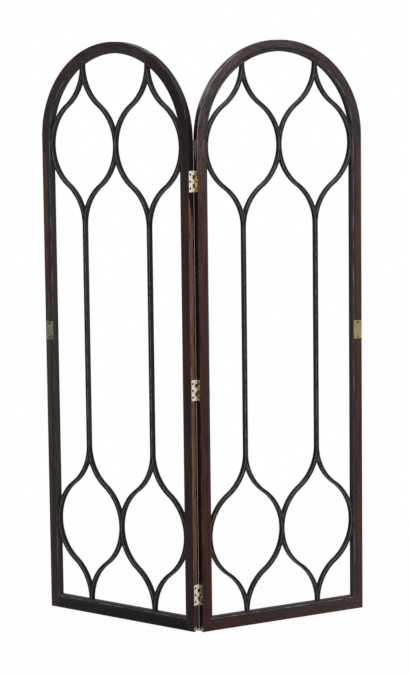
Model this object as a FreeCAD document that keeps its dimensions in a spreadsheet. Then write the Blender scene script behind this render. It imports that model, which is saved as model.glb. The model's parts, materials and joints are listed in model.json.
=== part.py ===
"""Draft screen of two arched leaves with open Gothic tracery, hung on three butt hinges.

Every leaf is drawn lying in its own frame: X runs along the leaf from the hinge pin, Y runs to
the back and Z runs up from the floor. Each piece is then turned about the pin by the fold angle.
"""
import FreeCAD
import Part
import Sketcher

import math
import os
import re

# Driving sizes, in millimetres and degrees
SIZES = {
    # frame of a leaf
    "leaf_height": 1800,
    "leaf_width": 588,
    "leaf_thickness": 24,
    "stile_width": 31,
    "rail_height": 38.5,
    "arris_radius": 1.5,
    # joints inside the frame
    "tenon_length": 20,
    "tenon_thickness": 8,
    "tenon_shoulder": 6,
    "key_length": 40,
    "key_width": 14,
    "key_thickness": 8,
    "glue_line": 0.05,
    # lining slips, set back from both faces of the frame
    "lining_thickness": 4,
    "lining_ledge": 2,
    "lining_round": 1.5,
    # tracery bars: astragal with a rounded nose on both faces
    "ogee_rise": 248,
    "bar_width": 10,
    "bar_depth": 20,
    "nose_width": 6,
    "nose_rise": 0.8,
    "nose_slope": 1.2,
    # stance of the leaves, and the pin's place behind the stile edges
    "fold_angle": 34,
    "edge_gap": 0.1,
    "back_gap": 0.1,
    # butt hinges
    "lowest_hinge": 114,
    "top_hinge_drop": 126,
    "hinge_height": 63.5,
    "flap_thickness": 2,
    "flap_margin": 2,
    "knuckle_radius": 3.5,
    "knuckle_gap": 0.2,
    "knuckle_relief": 0.5,
    "pin_radius": 1.75,
    "pin_clearance": 0.05,
    # hinge screws
    "hinge_screw_pitch": 21,
    "hinge_screw_inset": 6,
    "hinge_screw_head": 3.4,
    "hinge_screw_shank": 1.6,
    "hinge_screw_length": 18,
    # cover plates on the outer stiles
    "plate_level": 896,
    "plate_height": 57,
    "plate_width": 29,
    "plate_thickness": 1.6,
    "plate_proud": 0.6,
    "plate_screw_inset": 6,
    "plate_screw_head": 2.8,
    "plate_screw_shank": 1.3,
    "plate_screw_length": 14,
    "screw_clearance": 0.05,
}

HINGES = 3
KNUCKLES = 5
FLAP_SCREWS = 3
ARCH_SEGMENTS = 3
LEAVES = {"left": -1, "right": 1}

# Places along the leaf, measured from the pin
MIDDLE = "(edge_gap + leaf_width / 2)"
OUTER_EDGE = "(edge_gap + leaf_width)"
ARCH_RADIUS = "(leaf_width / 2)"
CLEAR_HALF = "(leaf_width / 2 - stile_width - lining_thickness)"
RUN = f"({CLEAR_HALF} / 2)"

# Heights above the floor
SPRINGING = f"(leaf_height - {ARCH_RADIUS})"
LOWER_START = "(rail_height + lining_thickness)"
UPPER_END = f"({SPRINGING} + sqrt({CLEAR_HALF} ^ 2 - {RUN} ^ 2))"
UPPER_START = f"({UPPER_END} - 2 * ogee_rise)"
HINGE_PITCH = f"(({SPRINGING} - top_hinge_drop - lowest_hinge) / {HINGES - 1})"

# Depths in front of the pin
FRONT = "(back_gap + leaf_thickness)"
MID_DEPTH = "(back_gap + leaf_thickness / 2)"

# An ogee is two equal arcs that start and end upright
OGEE_RADIUS = f"((ogee_rise ^ 2 + {RUN} ^ 2) / (4 * {RUN}))"
OGEE_TURN = f"(2 * atan({RUN} / ogee_rise))"

# The pin stands this far behind the middle of the screen's outline on the floor
NEAR_CORNER = f"((edge_gap + arris_radius) * sin(fold_angle) - ({FRONT} - arris_radius) * cos(fold_angle))"
FAR_CORNER = (f"(({OUTER_EDGE} - arris_radius) * sin(fold_angle)"
              " - (back_gap + arris_radius) * cos(fold_angle))")
PIN_PLACE = f"(-({NEAR_CORNER} + {FAR_CORNER}) / 2)"

doc = FreeCAD.newDocument("draft_screen")
sheet = doc.addObject("Spreadsheet::Sheet", "Sizes")
for row, (alias, size) in enumerate(SIZES.items(), start=1):
    sheet.set(f"A{row}", alias)
    sheet.set(f"B{row}", str(size))
    sheet.setAlias(f"B{row}", alias)
doc.recompute()

nodes = []


def formula(text):
    """Write a formula in size names as an expression on the sheet."""
    return re.sub(r"[a-z][a-z_]*", lambda found: cell(found.group()), str(text))


def cell(word):
    """Name the sheet's cell for a size, and leave function names alone."""
    return f"Sizes.{word}" if word in SIZES else word


def value(text):
    """Work a formula out as a number."""
    result = sheet.evalExpression(formula(text).replace("Sizes.", ""))
    return float(getattr(result, "Value", result))


def bind(thing, path, text):
    """Bind one property of an object to a formula."""
    thing.setExpression(path, formula(text))


def place(thing, side, height=0):
    """Turn a piece of a leaf about the pin into the screen's stance."""
    bind(thing, "Placement.Base.y", PIN_PLACE)
    bind(thing, "Placement.Base.z", height)
    bind(thing, "Placement.Rotation.Angle", f"{side} * fold_angle")


def new_body(label, side, height=0):
    """Start a piece as a body of its own, standing in the leaf on the given side."""
    body = doc.addObject("PartDesign::Body", label)
    body.Label = label
    place(body, side, height)
    nodes.append(body)
    return body


def sketch_on(body, role, at=(0, 0, 0), turn=0):
    """Attach a sketch to an origin plane, moved in the plane's own axes and turned about its Y."""
    plane = next(f for f in body.Origin.OriginFeatures if f.Role == role)
    sketch = body.newObject("Sketcher::SketchObject", f"{body.Name}_sketch")
    sketch.AttachmentSupport = [(plane, "")]
    sketch.MapMode = "FlatFace"
    sketch.AttachmentOffset = FreeCAD.Placement(FreeCAD.Vector(), FreeCAD.Vector(0, 1, 0), 0)
    for axis, text in zip("xyz", at):
        bind(sketch, f"AttachmentOffset.Base.{axis}", text)
    if turn:
        sketch.AttachmentOffset = FreeCAD.Placement(FreeCAD.Vector(), FreeCAD.Vector(0, 1, 0), 1)
        bind(sketch, "AttachmentOffset.Rotation.Angle", turn)
    return sketch


def hold(sketch, kind, text, *points):
    """Add one dimension to a sketch and bind it to a formula."""
    index = sketch.addConstraint(Sketcher.Constraint(kind, *points, value(text)))
    bind(sketch, f"Constraints[{index}]", text)


def hold_point(sketch, edge, end, x, y):
    """Fix a point of a sketch at a place from the sketch's origin."""
    hold(sketch, "DistanceX", x, -1, 1, edge, end)
    hold(sketch, "DistanceY", y, -1, 1, edge, end)


def arc_between(start, end, radius, turn):
    """Make the short arc from start to end, turning left (1) or right (-1)."""
    chord = end - start
    rise = math.sqrt(max(radius ** 2 - chord.Length ** 2 / 4, 0))
    left = FreeCAD.Vector(-chord.y, chord.x, 0).normalize()
    centre = (start + end) / 2 + left * rise * turn
    first, last = (start, end) if turn > 0 else (end, start)
    angles = [math.atan2(p.y - centre.y, p.x - centre.x) for p in (first, last)]
    circle = Part.Circle(centre, FreeCAD.Vector(0, 0, 1), radius)
    return Part.ArcOfCircle(circle, *angles)


def draw_outline(sketch, corners):
    """Draw a closed outline through corners (x, y), or (x, y, radius, turn) before an arc."""
    points = [FreeCAD.Vector(value(c[0]), value(c[1]), 0) for c in corners]
    ends = []
    for index, corner in enumerate(corners):
        start = points[index]
        end = points[(index + 1) % len(points)]
        if len(corner) == 2:
            edge = sketch.addGeometry(Part.LineSegment(start, end), False)
            ends.append((edge, 1, 2))
            continue
        radius, turn = corner[2:]
        edge = sketch.addGeometry(arc_between(start, end, value(radius), turn), False)
        hold(sketch, "Radius", radius, edge)
        ends.append((edge, 1, 2) if turn > 0 else (edge, 2, 1))
    for index, (edge, first, last) in enumerate(ends):
        following, following_first, _ = ends[(index + 1) % len(ends)]
        sketch.addConstraint(Sketcher.Constraint("Coincident", edge, last, following, following_first))
        hold_point(sketch, edge, first, *corners[index][:2])


def draw_box(sketch, x0, y0, x1, y1):
    """Draw a rectangle between two corners."""
    draw_outline(sketch, [(x0, y0), (x1, y0), (x1, y1), (x0, y1)])


def draw_circle(sketch, radius):
    """Draw a circle about the sketch's origin."""
    circle = Part.Circle(FreeCAD.Vector(), FreeCAD.Vector(0, 0, 1), value(radius))
    edge = sketch.addGeometry(circle, False)
    sketch.addConstraint(Sketcher.Constraint("Coincident", edge, 3, -1, 1))
    hold(sketch, "Radius", radius, edge)


def grow(body, kind, sketch, size, reverse=False, axis=None):
    """Add a pad or pocket of a given length, or a revolution or groove of a given angle."""
    feature = body.newObject(f"PartDesign::{kind}", f"{body.Name}_{kind.lower()}")
    feature.Profile = sketch
    if axis:
        feature.ReferenceAxis = (sketch, [axis])
    bind(feature, "Angle" if axis else "Length", size)
    feature.Reversed = reverse
    body.Tip = feature
    return feature


def repeat(body, feature, row, rows=None):
    """Repeat a feature upwards over a span, and the whole row again over a longer one."""
    up = next(f for f in body.Origin.OriginFeatures if f.Role == "Z_Axis")
    pattern = body.newObject("PartDesign::LinearPattern", f"{body.Name}_row")
    pattern.Originals = [feature]
    pattern.Direction = (up, [""])
    bind(pattern, "Length", row[0])
    pattern.Occurrences = row[1]
    if rows:
        pattern.Direction2 = (up, [""])
        bind(pattern, "Length2", rows[0])
        pattern.Occurrences2 = rows[1]
    body.Tip = pattern


def along(side, text):
    """Measure a place along the leaf on the given side of the pin."""
    return f"{side} * ({text})"


# Sections shared by straight and bent pieces

def frame_section(start, side, square=False):
    """Outline of a stile or arch with rounded arrises, or with a square one at the start of its back."""
    near, far = (f"({start})", f"({start} + stile_width)")
    back, front = ("(-back_gap)", f"(-{FRONT})")
    rounded = ("arris_radius", -side)
    outline = [
        (along(side, f"{far} - arris_radius"), back, *rounded),
        (along(side, far), f"{back} - arris_radius"),
        (along(side, far), f"{front} + arris_radius", *rounded),
        (along(side, f"{far} - arris_radius"), front),
        (along(side, f"{near} + arris_radius"), front, *rounded),
        (along(side, near), f"{front} + arris_radius"),
    ]
    if square:
        return outline + [(along(side, near), back)]
    return outline + [
        (along(side, near), f"{back} - arris_radius", *rounded),
        (along(side, f"{near} + arris_radius"), back),
    ]


def lining_section(seat, inward):
    """Outline of a lining slip from its seat on the frame, rounded where it shows."""
    back, front = ("(-back_gap - lining_ledge)", f"(-{FRONT} + lining_ledge)")
    low = f"({seat} + {inward} * glue_line)"
    high = f"({seat} + {inward} * lining_thickness)"
    rounded = ("lining_round", -inward)
    return [
        (low, back),
        (f"{high} - {inward} * lining_round", back, *rounded),
        (high, f"{back} - lining_round"),
        (high, f"{front} + lining_round", *rounded),
        (f"{high} - {inward} * lining_round", front),
        (low, front),
    ]


NOSE_RADIUS = "((nose_width ^ 2 / 4 + nose_rise ^ 2) / (2 * nose_rise))"


def bar_section(centre):
    """Outline of a tracery bar: a rounded nose on both faces, sloping out to flat sides."""
    half, nose = ("bar_width / 2", "nose_width / 2")
    tip = "(bar_depth / 2 - nose_rise)"
    shoulder = f"({tip} - nose_slope)"
    back, front = (f"(-{MID_DEPTH}) +", f"(-{MID_DEPTH}) -")
    return [
        (f"{centre} + {nose}", f"{back} {tip}", NOSE_RADIUS, 1),
        (f"{centre} - {nose}", f"{back} {tip}"),
        (f"{centre} - {half}", f"{back} {shoulder}"),
        (f"{centre} - {half}", f"{front} {shoulder}"),
        (f"{centre} - {nose}", f"{front} {tip}", NOSE_RADIUS, 1),
        (f"{centre} + {nose}", f"{front} {tip}"),
        (f"{centre} + {half}", f"{front} {shoulder}"),
        (f"{centre} + {half}", f"{back} {shoulder}"),
    ]


def screw_section(size, clearance, side):
    """Half outline of a countersunk screw along X, with its head at the sketch's origin."""
    head, shank, length = (f"{size}_head", f"{size}_shank", f"{size}_length")
    cone = f"({head} - {shank})"
    return [
        ("0", "0"),
        ("0", f"{head} + {clearance}"),
        (along(side, cone), f"{shank} + {clearance}"),
        (along(side, f"{length} - 2 * {shank}"), f"{shank} + {clearance}"),
        (along(side, f"{length} + {clearance}"), "0"),
    ]


# Frame of a leaf

def key_sketch(body, side, turn, clearance):
    """Sketch a key's section across the arch at a joint, as seen along the arch."""
    sketch = sketch_on(body, "XY_Plane", (along(side, MIDDLE), 0, SPRINGING), f"-{side} * ({turn})")
    centre = f"({ARCH_RADIUS} - stile_width / 2)"
    half = f"(key_width / 2 + {clearance})"
    depth = f"(key_thickness / 2 + {clearance})"
    draw_box(sketch, along(side, f"{centre} - {half}"), f"-{MID_DEPTH} - {depth}",
             along(side, f"{centre} + {half}"), f"-{MID_DEPTH} + {depth}")
    return sketch


def cut_key(body, side, turn, ahead):
    """Cut the mortise of a key into one end of a piece of the arch or a stile."""
    sketch = key_sketch(body, side, turn, "glue_line")
    grow(body, "Pocket", sketch, "key_length / 2 + glue_line", reverse=ahead)


def cut_rail_mortise(body, side, face, into):
    """Cut the bottom rail's mortise into a stile from its inner face."""
    sketch = sketch_on(body, "YZ_Plane", (0, 0, along(side, face)))
    half = "(tenon_thickness / 2 + glue_line)"
    draw_box(sketch, f"-{MID_DEPTH} - {half}", "tenon_shoulder - glue_line",
             f"-{MID_DEPTH} + {half}", "rail_height - tenon_shoulder + glue_line")
    grow(body, "Pocket", sketch, "tenon_length + glue_line", reverse=side * into > 0)


def turn_hinge_screws(body, kind, side, level, clearance, hinges=None):
    """Turn the row of screws in a flap, or bore their holes, on one hinge or on all."""
    depth = f"(flap_margin + hinge_screw_inset - {FRONT})"
    sketch = sketch_on(body, "XY_Plane", (along(side, "edge_gap"), depth, f"{level} - hinge_screw_pitch"))
    draw_outline(sketch, screw_section("hinge_screw", clearance, side))
    feature = grow(body, kind, sketch, 360, axis="H_Axis")
    repeat(body, feature, (f"hinge_screw_pitch * {FLAP_SCREWS - 1}", FLAP_SCREWS), hinges)


def make_hinge_stile(leaf, side):
    """Make the stile that carries the hinges, square behind so that the leaves close up to each other."""
    body = new_body(f"{leaf}_hinge_stile", side)
    sketch = sketch_on(body, "XY_Plane")
    draw_outline(sketch, frame_section("edge_gap", side, square=True))
    grow(body, "Pad", sketch, SPRINGING)
    cut_rail_mortise(body, side, "edge_gap + stile_width", -1)
    cut_key(body, side, 180, True)

    lowest_edge = "lowest_hinge - hinge_height / 2"
    hinges = (f"{HINGE_PITCH} * {HINGES - 1}", HINGES)
    gain = sketch_on(body, "XY_Plane", (0, 0, f"{lowest_edge} - glue_line"))
    draw_box(gain, 0, f"-({FRONT} - flap_margin + glue_line)",
             along(side, "edge_gap + flap_thickness + glue_line"), "back_gap")
    cut = grow(body, "Pocket", gain, "hinge_height + 2 * glue_line", reverse=True)
    repeat(body, cut, hinges)
    relief = sketch_on(body, "XY_Plane", (0, 0, f"{lowest_edge} - knuckle_relief"))
    draw_circle(relief, "knuckle_radius + knuckle_relief")
    cut = grow(body, "Pocket", relief, "hinge_height + 2 * knuckle_relief", reverse=True)
    repeat(body, cut, hinges)
    turn_hinge_screws(body, "Groove", side, "lowest_hinge", "screw_clearance", hinges)


def turn_plate_screws(body, kind, side, clearance):
    """Turn the two screws of a cover plate, or bore their holes, from the front to the back."""
    across = along(side, f"{OUTER_EDGE} - stile_width / 2")
    level = "plate_level - plate_height / 2 + plate_screw_inset"
    sketch = sketch_on(body, "XY_Plane", (across, f"-({FRONT} + plate_proud)", level))
    draw_outline(sketch, [(y, x) for x, y in screw_section("plate_screw", clearance, 1)])
    feature = grow(body, kind, sketch, 360, axis="V_Axis")
    repeat(body, feature, ("plate_height - 2 * plate_screw_inset", 2))


def make_outer_stile(leaf, side):
    """Make the stile at the free edge, with the recess of its cover plate."""
    body = new_body(f"{leaf}_outer_stile", side)
    sketch = sketch_on(body, "XY_Plane")
    draw_outline(sketch, frame_section(f"{OUTER_EDGE} - stile_width", side))
    grow(body, "Pad", sketch, SPRINGING)
    cut_rail_mortise(body, side, f"{OUTER_EDGE} - stile_width", 1)
    cut_key(body, side, 0, False)

    across = along(side, f"{OUTER_EDGE} - stile_width / 2")
    recess = sketch_on(body, "XZ_Plane", (across, "plate_level", FRONT))
    half, tall = ("(plate_width / 2 + glue_line)", "(plate_height / 2 + glue_line)")
    draw_box(recess, f"-{half}", f"-{tall}", half, tall)
    grow(body, "Pocket", recess, "plate_thickness - plate_proud")
    turn_plate_screws(body, "Groove", side, "screw_clearance")


def make_rail(leaf, side):
    """Make the bottom rail with a tenon at each end."""
    body = new_body(f"{leaf}_bottom_rail", side)
    start = "edge_gap + stile_width"
    span = "leaf_width - 2 * stile_width"
    sketch = sketch_on(body, "YZ_Plane", (0, 0, along(side, start)))
    back, front = ("(-back_gap)", f"(-{FRONT})")
    draw_outline(sketch, [
        (back, "0"),
        (back, "rail_height - arris_radius", "arris_radius", 1),
        (f"{back} - arris_radius", "rail_height"),
        (f"{front} + arris_radius", "rail_height", "arris_radius", 1),
        (front, "rail_height - arris_radius"),
        (front, "0"),
    ])
    grow(body, "Pad", sketch, span, reverse=side < 0)
    tenon = sketch_on(body, "YZ_Plane", (0, 0, along(side, f"{start} - tenon_length")))
    draw_box(tenon, f"-{MID_DEPTH} - tenon_thickness / 2", "tenon_shoulder",
             f"-{MID_DEPTH} + tenon_thickness / 2", "rail_height - tenon_shoulder")
    grow(body, "Pad", tenon, f"{span} + 2 * tenon_length", reverse=side < 0)


def make_arch(leaf, side):
    """Make the arch in equal segments, from the outer springing over to the hinge side."""
    step = 180 / ARCH_SEGMENTS
    for index, name in enumerate(("outer_haunch", "crown", "hinge_haunch")):
        body = new_body(f"{leaf}_arch_{name}", side)
        start = index * step
        at = (along(side, MIDDLE), 0, SPRINGING)
        sketch = sketch_on(body, "XY_Plane", at, f"-{side} * {start}" if start else 0)
        draw_outline(sketch, frame_section(f"{ARCH_RADIUS} - stile_width", side))
        grow(body, "Revolution", sketch, step, reverse=side > 0, axis="V_Axis")
        cut_key(body, side, start, True)
        cut_key(body, side, start + step, False)


def make_keys(leaf, side):
    """Make the loose tenons of the arch's joints, one group to a leaf."""
    body = new_body(f"{leaf}_arch_keys", side)
    for joint in range(ARCH_SEGMENTS + 1):
        sketch = key_sketch(body, side, joint * 180 / ARCH_SEGMENTS, "0")
        pad = grow(body, "Pad", sketch, "key_length")
        pad.SideType = "Symmetric"


def make_linings(leaf, side):
    """Make the slips that line the opening: two upright, one on the rail and one bent in the arch."""
    seats = {"hinge": ("edge_gap + stile_width", 1), "outer": (f"{OUTER_EDGE} - stile_width", -1)}
    for name, (seat, inward) in seats.items():
        body = new_body(f"{leaf}_{name}_lining", side)
        sketch = sketch_on(body, "XY_Plane", (0, 0, "rail_height"))
        draw_outline(sketch, lining_section(along(side, seat), side * inward))
        grow(body, "Pad", sketch, f"{SPRINGING} - rail_height")

    body = new_body(f"{leaf}_bottom_lining", side)
    sketch = sketch_on(body, "YZ_Plane", (0, 0, along(side, f"{MIDDLE} - {CLEAR_HALF}")))
    draw_outline(sketch, [(y, x, *arc) for x, y, *arc in turned(lining_section("rail_height", 1))])
    grow(body, "Pad", sketch, f"2 * {CLEAR_HALF}", reverse=side < 0)

    body = new_body(f"{leaf}_arch_lining", side)
    sketch = sketch_on(body, "XY_Plane", (along(side, MIDDLE), 0, SPRINGING))
    seat = along(side, f"{ARCH_RADIUS} - stile_width")
    draw_outline(sketch, lining_section(seat, -side))
    grow(body, "Revolution", sketch, 180, reverse=side > 0, axis="V_Axis")


def turned(corners):
    """Flip the turn of every arc, for an outline whose axes are swapped."""
    return [c if len(c) == 2 else (*c[:3], -c[3]) for c in corners]


# Tracery of a leaf

def make_mullion(leaf, side, name, half):
    """Make one upright bar between the lower and the upper ogees."""
    body = new_body(f"{leaf}_{name}_mullion", side)
    start = f"({LOWER_START} + 2 * ogee_rise)"
    sketch = sketch_on(body, "XY_Plane", (0, 0, start))
    draw_outline(sketch, bar_section(along(side, f"{MIDDLE} + {half} * {RUN}")))
    grow(body, "Pad", sketch, f"{UPPER_START} - {start}")


def sweep_ogee(body, side, quarter, meet, outward, start):
    """Sweep a bar from the mullion line out to where it meets its neighbour and back again."""
    way = side * outward
    hub = along(side, f"{quarter} + {outward} * {OGEE_RADIUS}")
    far_hub = along(side, f"{meet} - {outward} * {OGEE_RADIUS}")
    stages = (
        (hub, start, -way, OGEE_TURN, way < 0),
        (far_hub, f"{start} + ogee_rise", way, f"2 * {OGEE_TURN}", False),
        (hub, f"{start} + 2 * ogee_rise", -way, OGEE_TURN, way > 0),
    )
    for centre, height, sign, angle, reverse in stages:
        sketch = sketch_on(body, "XY_Plane", (centre, 0, height))
        draw_outline(sketch, bar_section(f"{sign} * {OGEE_RADIUS}"))
        bend = grow(body, "Revolution", sketch, angle, reverse=reverse, axis="V_Axis")
        bend.Midplane = sign == way


def trim_to_bay(body, corners, low, high):
    """Mitre a bar: cut away what lies outside its own bay of the tracery."""
    sketch = sketch_on(body, "XZ_Plane", (0, 0, FRONT))
    draw_outline(sketch, corners)
    left, right = sorted((corners[0][0], corners[1][0]), key=value)
    draw_box(sketch, f"{left} - bar_width", f"{low} - bar_width",
             f"{right} + bar_width", f"{high} + bar_width")
    grow(body, "Pocket", sketch, "leaf_thickness")


def make_lower_ogee(leaf, side, name, half, meet_name, meet):
    """Make one lower ogee bar, which stands on the bottom lining."""
    body = new_body(f"{leaf}_lower_{name}_{meet_name}_ogee", side)
    quarter = f"({MIDDLE} + {half} * {RUN})"
    outward = half if meet_name == "edge" else -half
    sweep_ogee(body, side, quarter, meet, outward, LOWER_START)
    top = f"({LOWER_START} + 2 * ogee_rise)"
    near, far = (along(side, quarter), along(side, meet))
    bay = [(near, LOWER_START), (far, LOWER_START), (far, top), (near, top)]
    trim_to_bay(body, bay, LOWER_START, top)


def make_upper_ogee(leaf, side, name, half, meet_name, meet):
    """Make one upper ogee bar, which runs up into the arch."""
    body = new_body(f"{leaf}_upper_{name}_{meet_name}_ogee", side)
    quarter = f"({MIDDLE} + {half} * {RUN})"
    outward = half if meet_name == "edge" else -half
    sweep_ogee(body, side, quarter, meet, outward, UPPER_START)
    stub = sketch_on(body, "XY_Plane", (0, 0, UPPER_END))
    draw_outline(stub, bar_section(along(side, quarter)))
    grow(body, "Pad", stub, "bar_width")

    reach = f"({CLEAR_HALF} - glue_line)"
    shoulder = f"({SPRINGING} + sqrt({reach} ^ 2 - {RUN} ^ 2))"
    near = along(side, quarter)
    if meet_name == "edge":
        far = along(side, f"{MIDDLE} + {half} * {reach}")
        arc_start = (far, SPRINGING, reach, side * half)
    else:
        far = along(side, MIDDLE)
        arc_start = (far, f"{SPRINGING} + {reach}", reach, -side * half)
    bay = [(near, UPPER_START), (far, UPPER_START), arc_start, (near, shoulder)]
    trim_to_bay(body, bay, UPPER_START, f"({SPRINGING} + {reach})")


def make_tracery(leaf, side):
    """Make all the bars of a leaf."""
    for name, half in (("outer", 1), ("hinge", -1)):
        make_mullion(leaf, side, name, half)
        meets = {"edge": f"({MIDDLE} + {half} * {CLEAR_HALF})", "centre": MIDDLE}
        for meet_name, meet in meets.items():
            make_lower_ogee(leaf, side, name, half, meet_name, meet)
            make_upper_ogee(leaf, side, name, half, meet_name, meet)


# Brass work

def make_cover_plate(leaf, side):
    """Make the plate let into the outer stile's face, and its two screws."""
    body = new_body(f"{leaf}_cover_plate", side)
    at = (along(side, f"{OUTER_EDGE} - stile_width / 2"), "plate_level", f"{FRONT} + plate_proud")
    sketch = sketch_on(body, "XZ_Plane", at)
    draw_box(sketch, "-plate_width / 2", "-plate_height / 2", "plate_width / 2", "plate_height / 2")
    grow(body, "Pad", sketch, "plate_thickness", reverse=True)
    turn_plate_screws(body, "Groove", side, "screw_clearance")

    screws = new_body(f"{leaf}_cover_plate_screws", side)
    turn_plate_screws(screws, "Revolution", side, "0")


def make_flap(leaf, side, number):
    """Make one flap of a hinge, with every other knuckle."""
    bottom = f"lowest_hinge - hinge_height / 2 + {number} * {HINGE_PITCH}"
    body = new_body(f"hinge_{number + 1}_{leaf}_flap", side, bottom)
    plate = sketch_on(body, "XY_Plane")
    draw_box(plate, along(side, "edge_gap"), f"-({FRONT} - flap_margin)",
             along(side, "edge_gap + flap_thickness"), "0")
    grow(body, "Pad", plate, "hinge_height")
    knuckle = sketch_on(body, "XY_Plane")
    draw_circle(knuckle, "knuckle_radius")
    grow(body, "Pad", knuckle, "hinge_height")
    bore = sketch_on(body, "XY_Plane")
    draw_circle(bore, "pin_radius + pin_clearance")
    grow(body, "Pocket", bore, "hinge_height", reverse=True)

    first = 1 if leaf == "left" else 0
    length = f"(hinge_height / {KNUCKLES})"
    notch = sketch_on(body, "XY_Plane", (0, 0, f"{first} * {length} - knuckle_gap"))
    draw_circle(notch, "knuckle_radius + knuckle_relief")
    cut = grow(body, "Pocket", notch, f"{length} + 2 * knuckle_gap", reverse=True)
    count = len(range(first, KNUCKLES, 2))
    repeat(body, cut, (f"2 * {length} * {count - 1}", count))
    turn_hinge_screws(body, "Groove", side, "hinge_height / 2", "screw_clearance")


def make_pin(number):
    """Make the pin of one hinge, with its ends eased."""
    bottom = f"lowest_hinge - hinge_height / 2 + {number} * {HINGE_PITCH}"
    body = new_body(f"hinge_{number + 1}_pin", LEAVES["left"], bottom)
    sketch = sketch_on(body, "XZ_Plane")
    ease = "pin_radius / 3"
    draw_outline(sketch, [
        ("0", "0"),
        (f"pin_radius - {ease}", "0"),
        ("pin_radius", ease),
        ("pin_radius", f"hinge_height - {ease}"),
        (f"pin_radius - {ease}", "hinge_height"),
        ("0", "hinge_height"),
    ])
    grow(body, "Revolution", sketch, 360, axis="V_Axis")


def make_hinge_screws(leaf, side):
    """Make all the screws that hold one leaf's flaps, as one group."""
    body = new_body(f"{leaf}_hinge_screws", side)
    hinges = (f"{HINGE_PITCH} * {HINGES - 1}", HINGES)
    turn_hinge_screws(body, "Revolution", side, "lowest_hinge", "0", hinges)


def check(thing):
    """Stop if an object failed."""
    if "Invalid" in thing.State or "Error" in thing.State:
        raise RuntimeError(f"{thing.Label} failed: {thing.State}")


def check_shape(body):
    """Stop if a piece has no sound shape."""
    if body.Shape.isNull() or not body.Shape.isValid():
        raise RuntimeError(f"{body.Label} has no sound shape")


def main():
    """Make every piece, check it and write it out."""
    for leaf, side in LEAVES.items():
        make_outer_stile(leaf, side)
        make_hinge_stile(leaf, side)
        make_rail(leaf, side)
        make_arch(leaf, side)
        make_keys(leaf, side)
        make_linings(leaf, side)
        make_tracery(leaf, side)
        make_cover_plate(leaf, side)
        make_hinge_screws(leaf, side)
    for number in range(HINGES):
        for leaf, side in LEAVES.items():
            make_flap(leaf, side, number)
        make_pin(number)
    doc.recompute()

    for thing in doc.Objects:
        check(thing)
    for body in nodes:
        check_shape(body)
    os.makedirs("parts", exist_ok=True)
    for body in nodes:
        body.Shape.exportStep(f"parts/{body.Label}.step")
        print(body.Label, len(body.Shape.Solids), round(body.Shape.Volume, 1))


main()
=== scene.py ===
"""Looks of a two-leaf draft screen: old mahogany frames, near-black tracery and aged brass.

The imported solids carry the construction. This script gives each of them its finish, models the
slotted screws and the eased cover plates, and sets up a plain white studio and the camera.
Lengths are in metres unless a name says otherwise.
"""

import json
import logging
import math
from collections.abc import Callable, Sequence
from dataclasses import dataclass, replace
from enum import Enum
from itertools import product

import bmesh
import bpy
from mathutils import Matrix, Vector


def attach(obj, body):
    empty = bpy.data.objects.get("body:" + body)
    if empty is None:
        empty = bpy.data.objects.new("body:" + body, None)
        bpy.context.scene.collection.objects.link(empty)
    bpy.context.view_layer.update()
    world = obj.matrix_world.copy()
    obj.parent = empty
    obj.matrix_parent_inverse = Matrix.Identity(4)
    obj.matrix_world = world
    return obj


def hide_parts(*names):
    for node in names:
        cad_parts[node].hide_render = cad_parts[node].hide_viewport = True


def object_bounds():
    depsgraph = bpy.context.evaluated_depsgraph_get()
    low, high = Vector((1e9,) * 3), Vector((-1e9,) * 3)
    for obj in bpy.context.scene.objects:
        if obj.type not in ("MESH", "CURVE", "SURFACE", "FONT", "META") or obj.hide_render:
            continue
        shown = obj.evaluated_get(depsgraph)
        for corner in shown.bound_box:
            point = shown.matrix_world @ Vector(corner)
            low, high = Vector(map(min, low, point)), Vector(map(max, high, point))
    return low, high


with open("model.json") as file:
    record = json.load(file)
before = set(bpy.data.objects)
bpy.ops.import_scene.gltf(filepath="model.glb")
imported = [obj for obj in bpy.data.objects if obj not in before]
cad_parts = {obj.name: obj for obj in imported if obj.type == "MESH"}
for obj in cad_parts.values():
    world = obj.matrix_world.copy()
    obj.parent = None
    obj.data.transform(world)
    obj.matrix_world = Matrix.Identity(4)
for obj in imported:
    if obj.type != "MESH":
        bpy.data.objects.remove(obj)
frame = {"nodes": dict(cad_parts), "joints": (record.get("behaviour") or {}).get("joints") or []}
CAD_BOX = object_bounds()
MM = 0.001

Piece = bpy.types.Object
Material = bpy.types.Material
Socket = bpy.types.NodeSocket
Sockets = bpy.types.NodeOutputs
Colour = tuple[float, float, float, float]
Value = Socket | float | Sequence[float]
Range = tuple[float, float]
Scale = float | tuple[float, float, float]

log = logging.getLogger("draft_screen")


def paint(red: int, green: int, blue: int) -> Colour:
    """Turn a colour as it looks on a screen, 0 to 255, into linear light.

    Args:
        red, green, blue: The colour's channels.

    Returns:
        The linear colour with full alpha.
    """
    def linear(channel: int) -> float:
        """Undo the screen curve of one channel."""
        share = channel / 255
        return share / 12.92 if share <= 0.04045 else ((share + 0.055) / 1.055) ** 2.4

    return (linear(red), linear(green), linear(blue), 1.0)


def extent(points: Sequence[Vector]) -> tuple[Vector, Vector]:
    """Find the lowest and the highest corner of the box round some points.

    Args:
        points: The points.

    Returns:
        The lowest and the highest corner.
    """
    low = Vector(min(point[axis] for point in points) for axis in range(3))
    high = Vector(max(point[axis] for point in points) for axis in range(3))
    return low, high


class Side(Enum):
    """The two leaves, with the way each runs along X from the pin."""

    LEFT = -1
    RIGHT = 1

    @property
    def word(self) -> str:
        """The leaf's name as its nodes spell it."""
        return self.name.lower()

    @property
    def body(self) -> str:
        """The moving body that the leaf is."""
        return f"{self.word}_leaf"


class Edge(Enum):
    """How the outer edge of a frame member looks."""

    POLISHED = "polished like the face"
    BLACK = "thick with black polish"
    # The upper edge is painted grey as a reflection of the bright ceiling, and is black below.
    PAINTED_SHEEN = "rubbed grey at the top and black below"
    FLAKED = "bare wood where the polish has flaked off"


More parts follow.
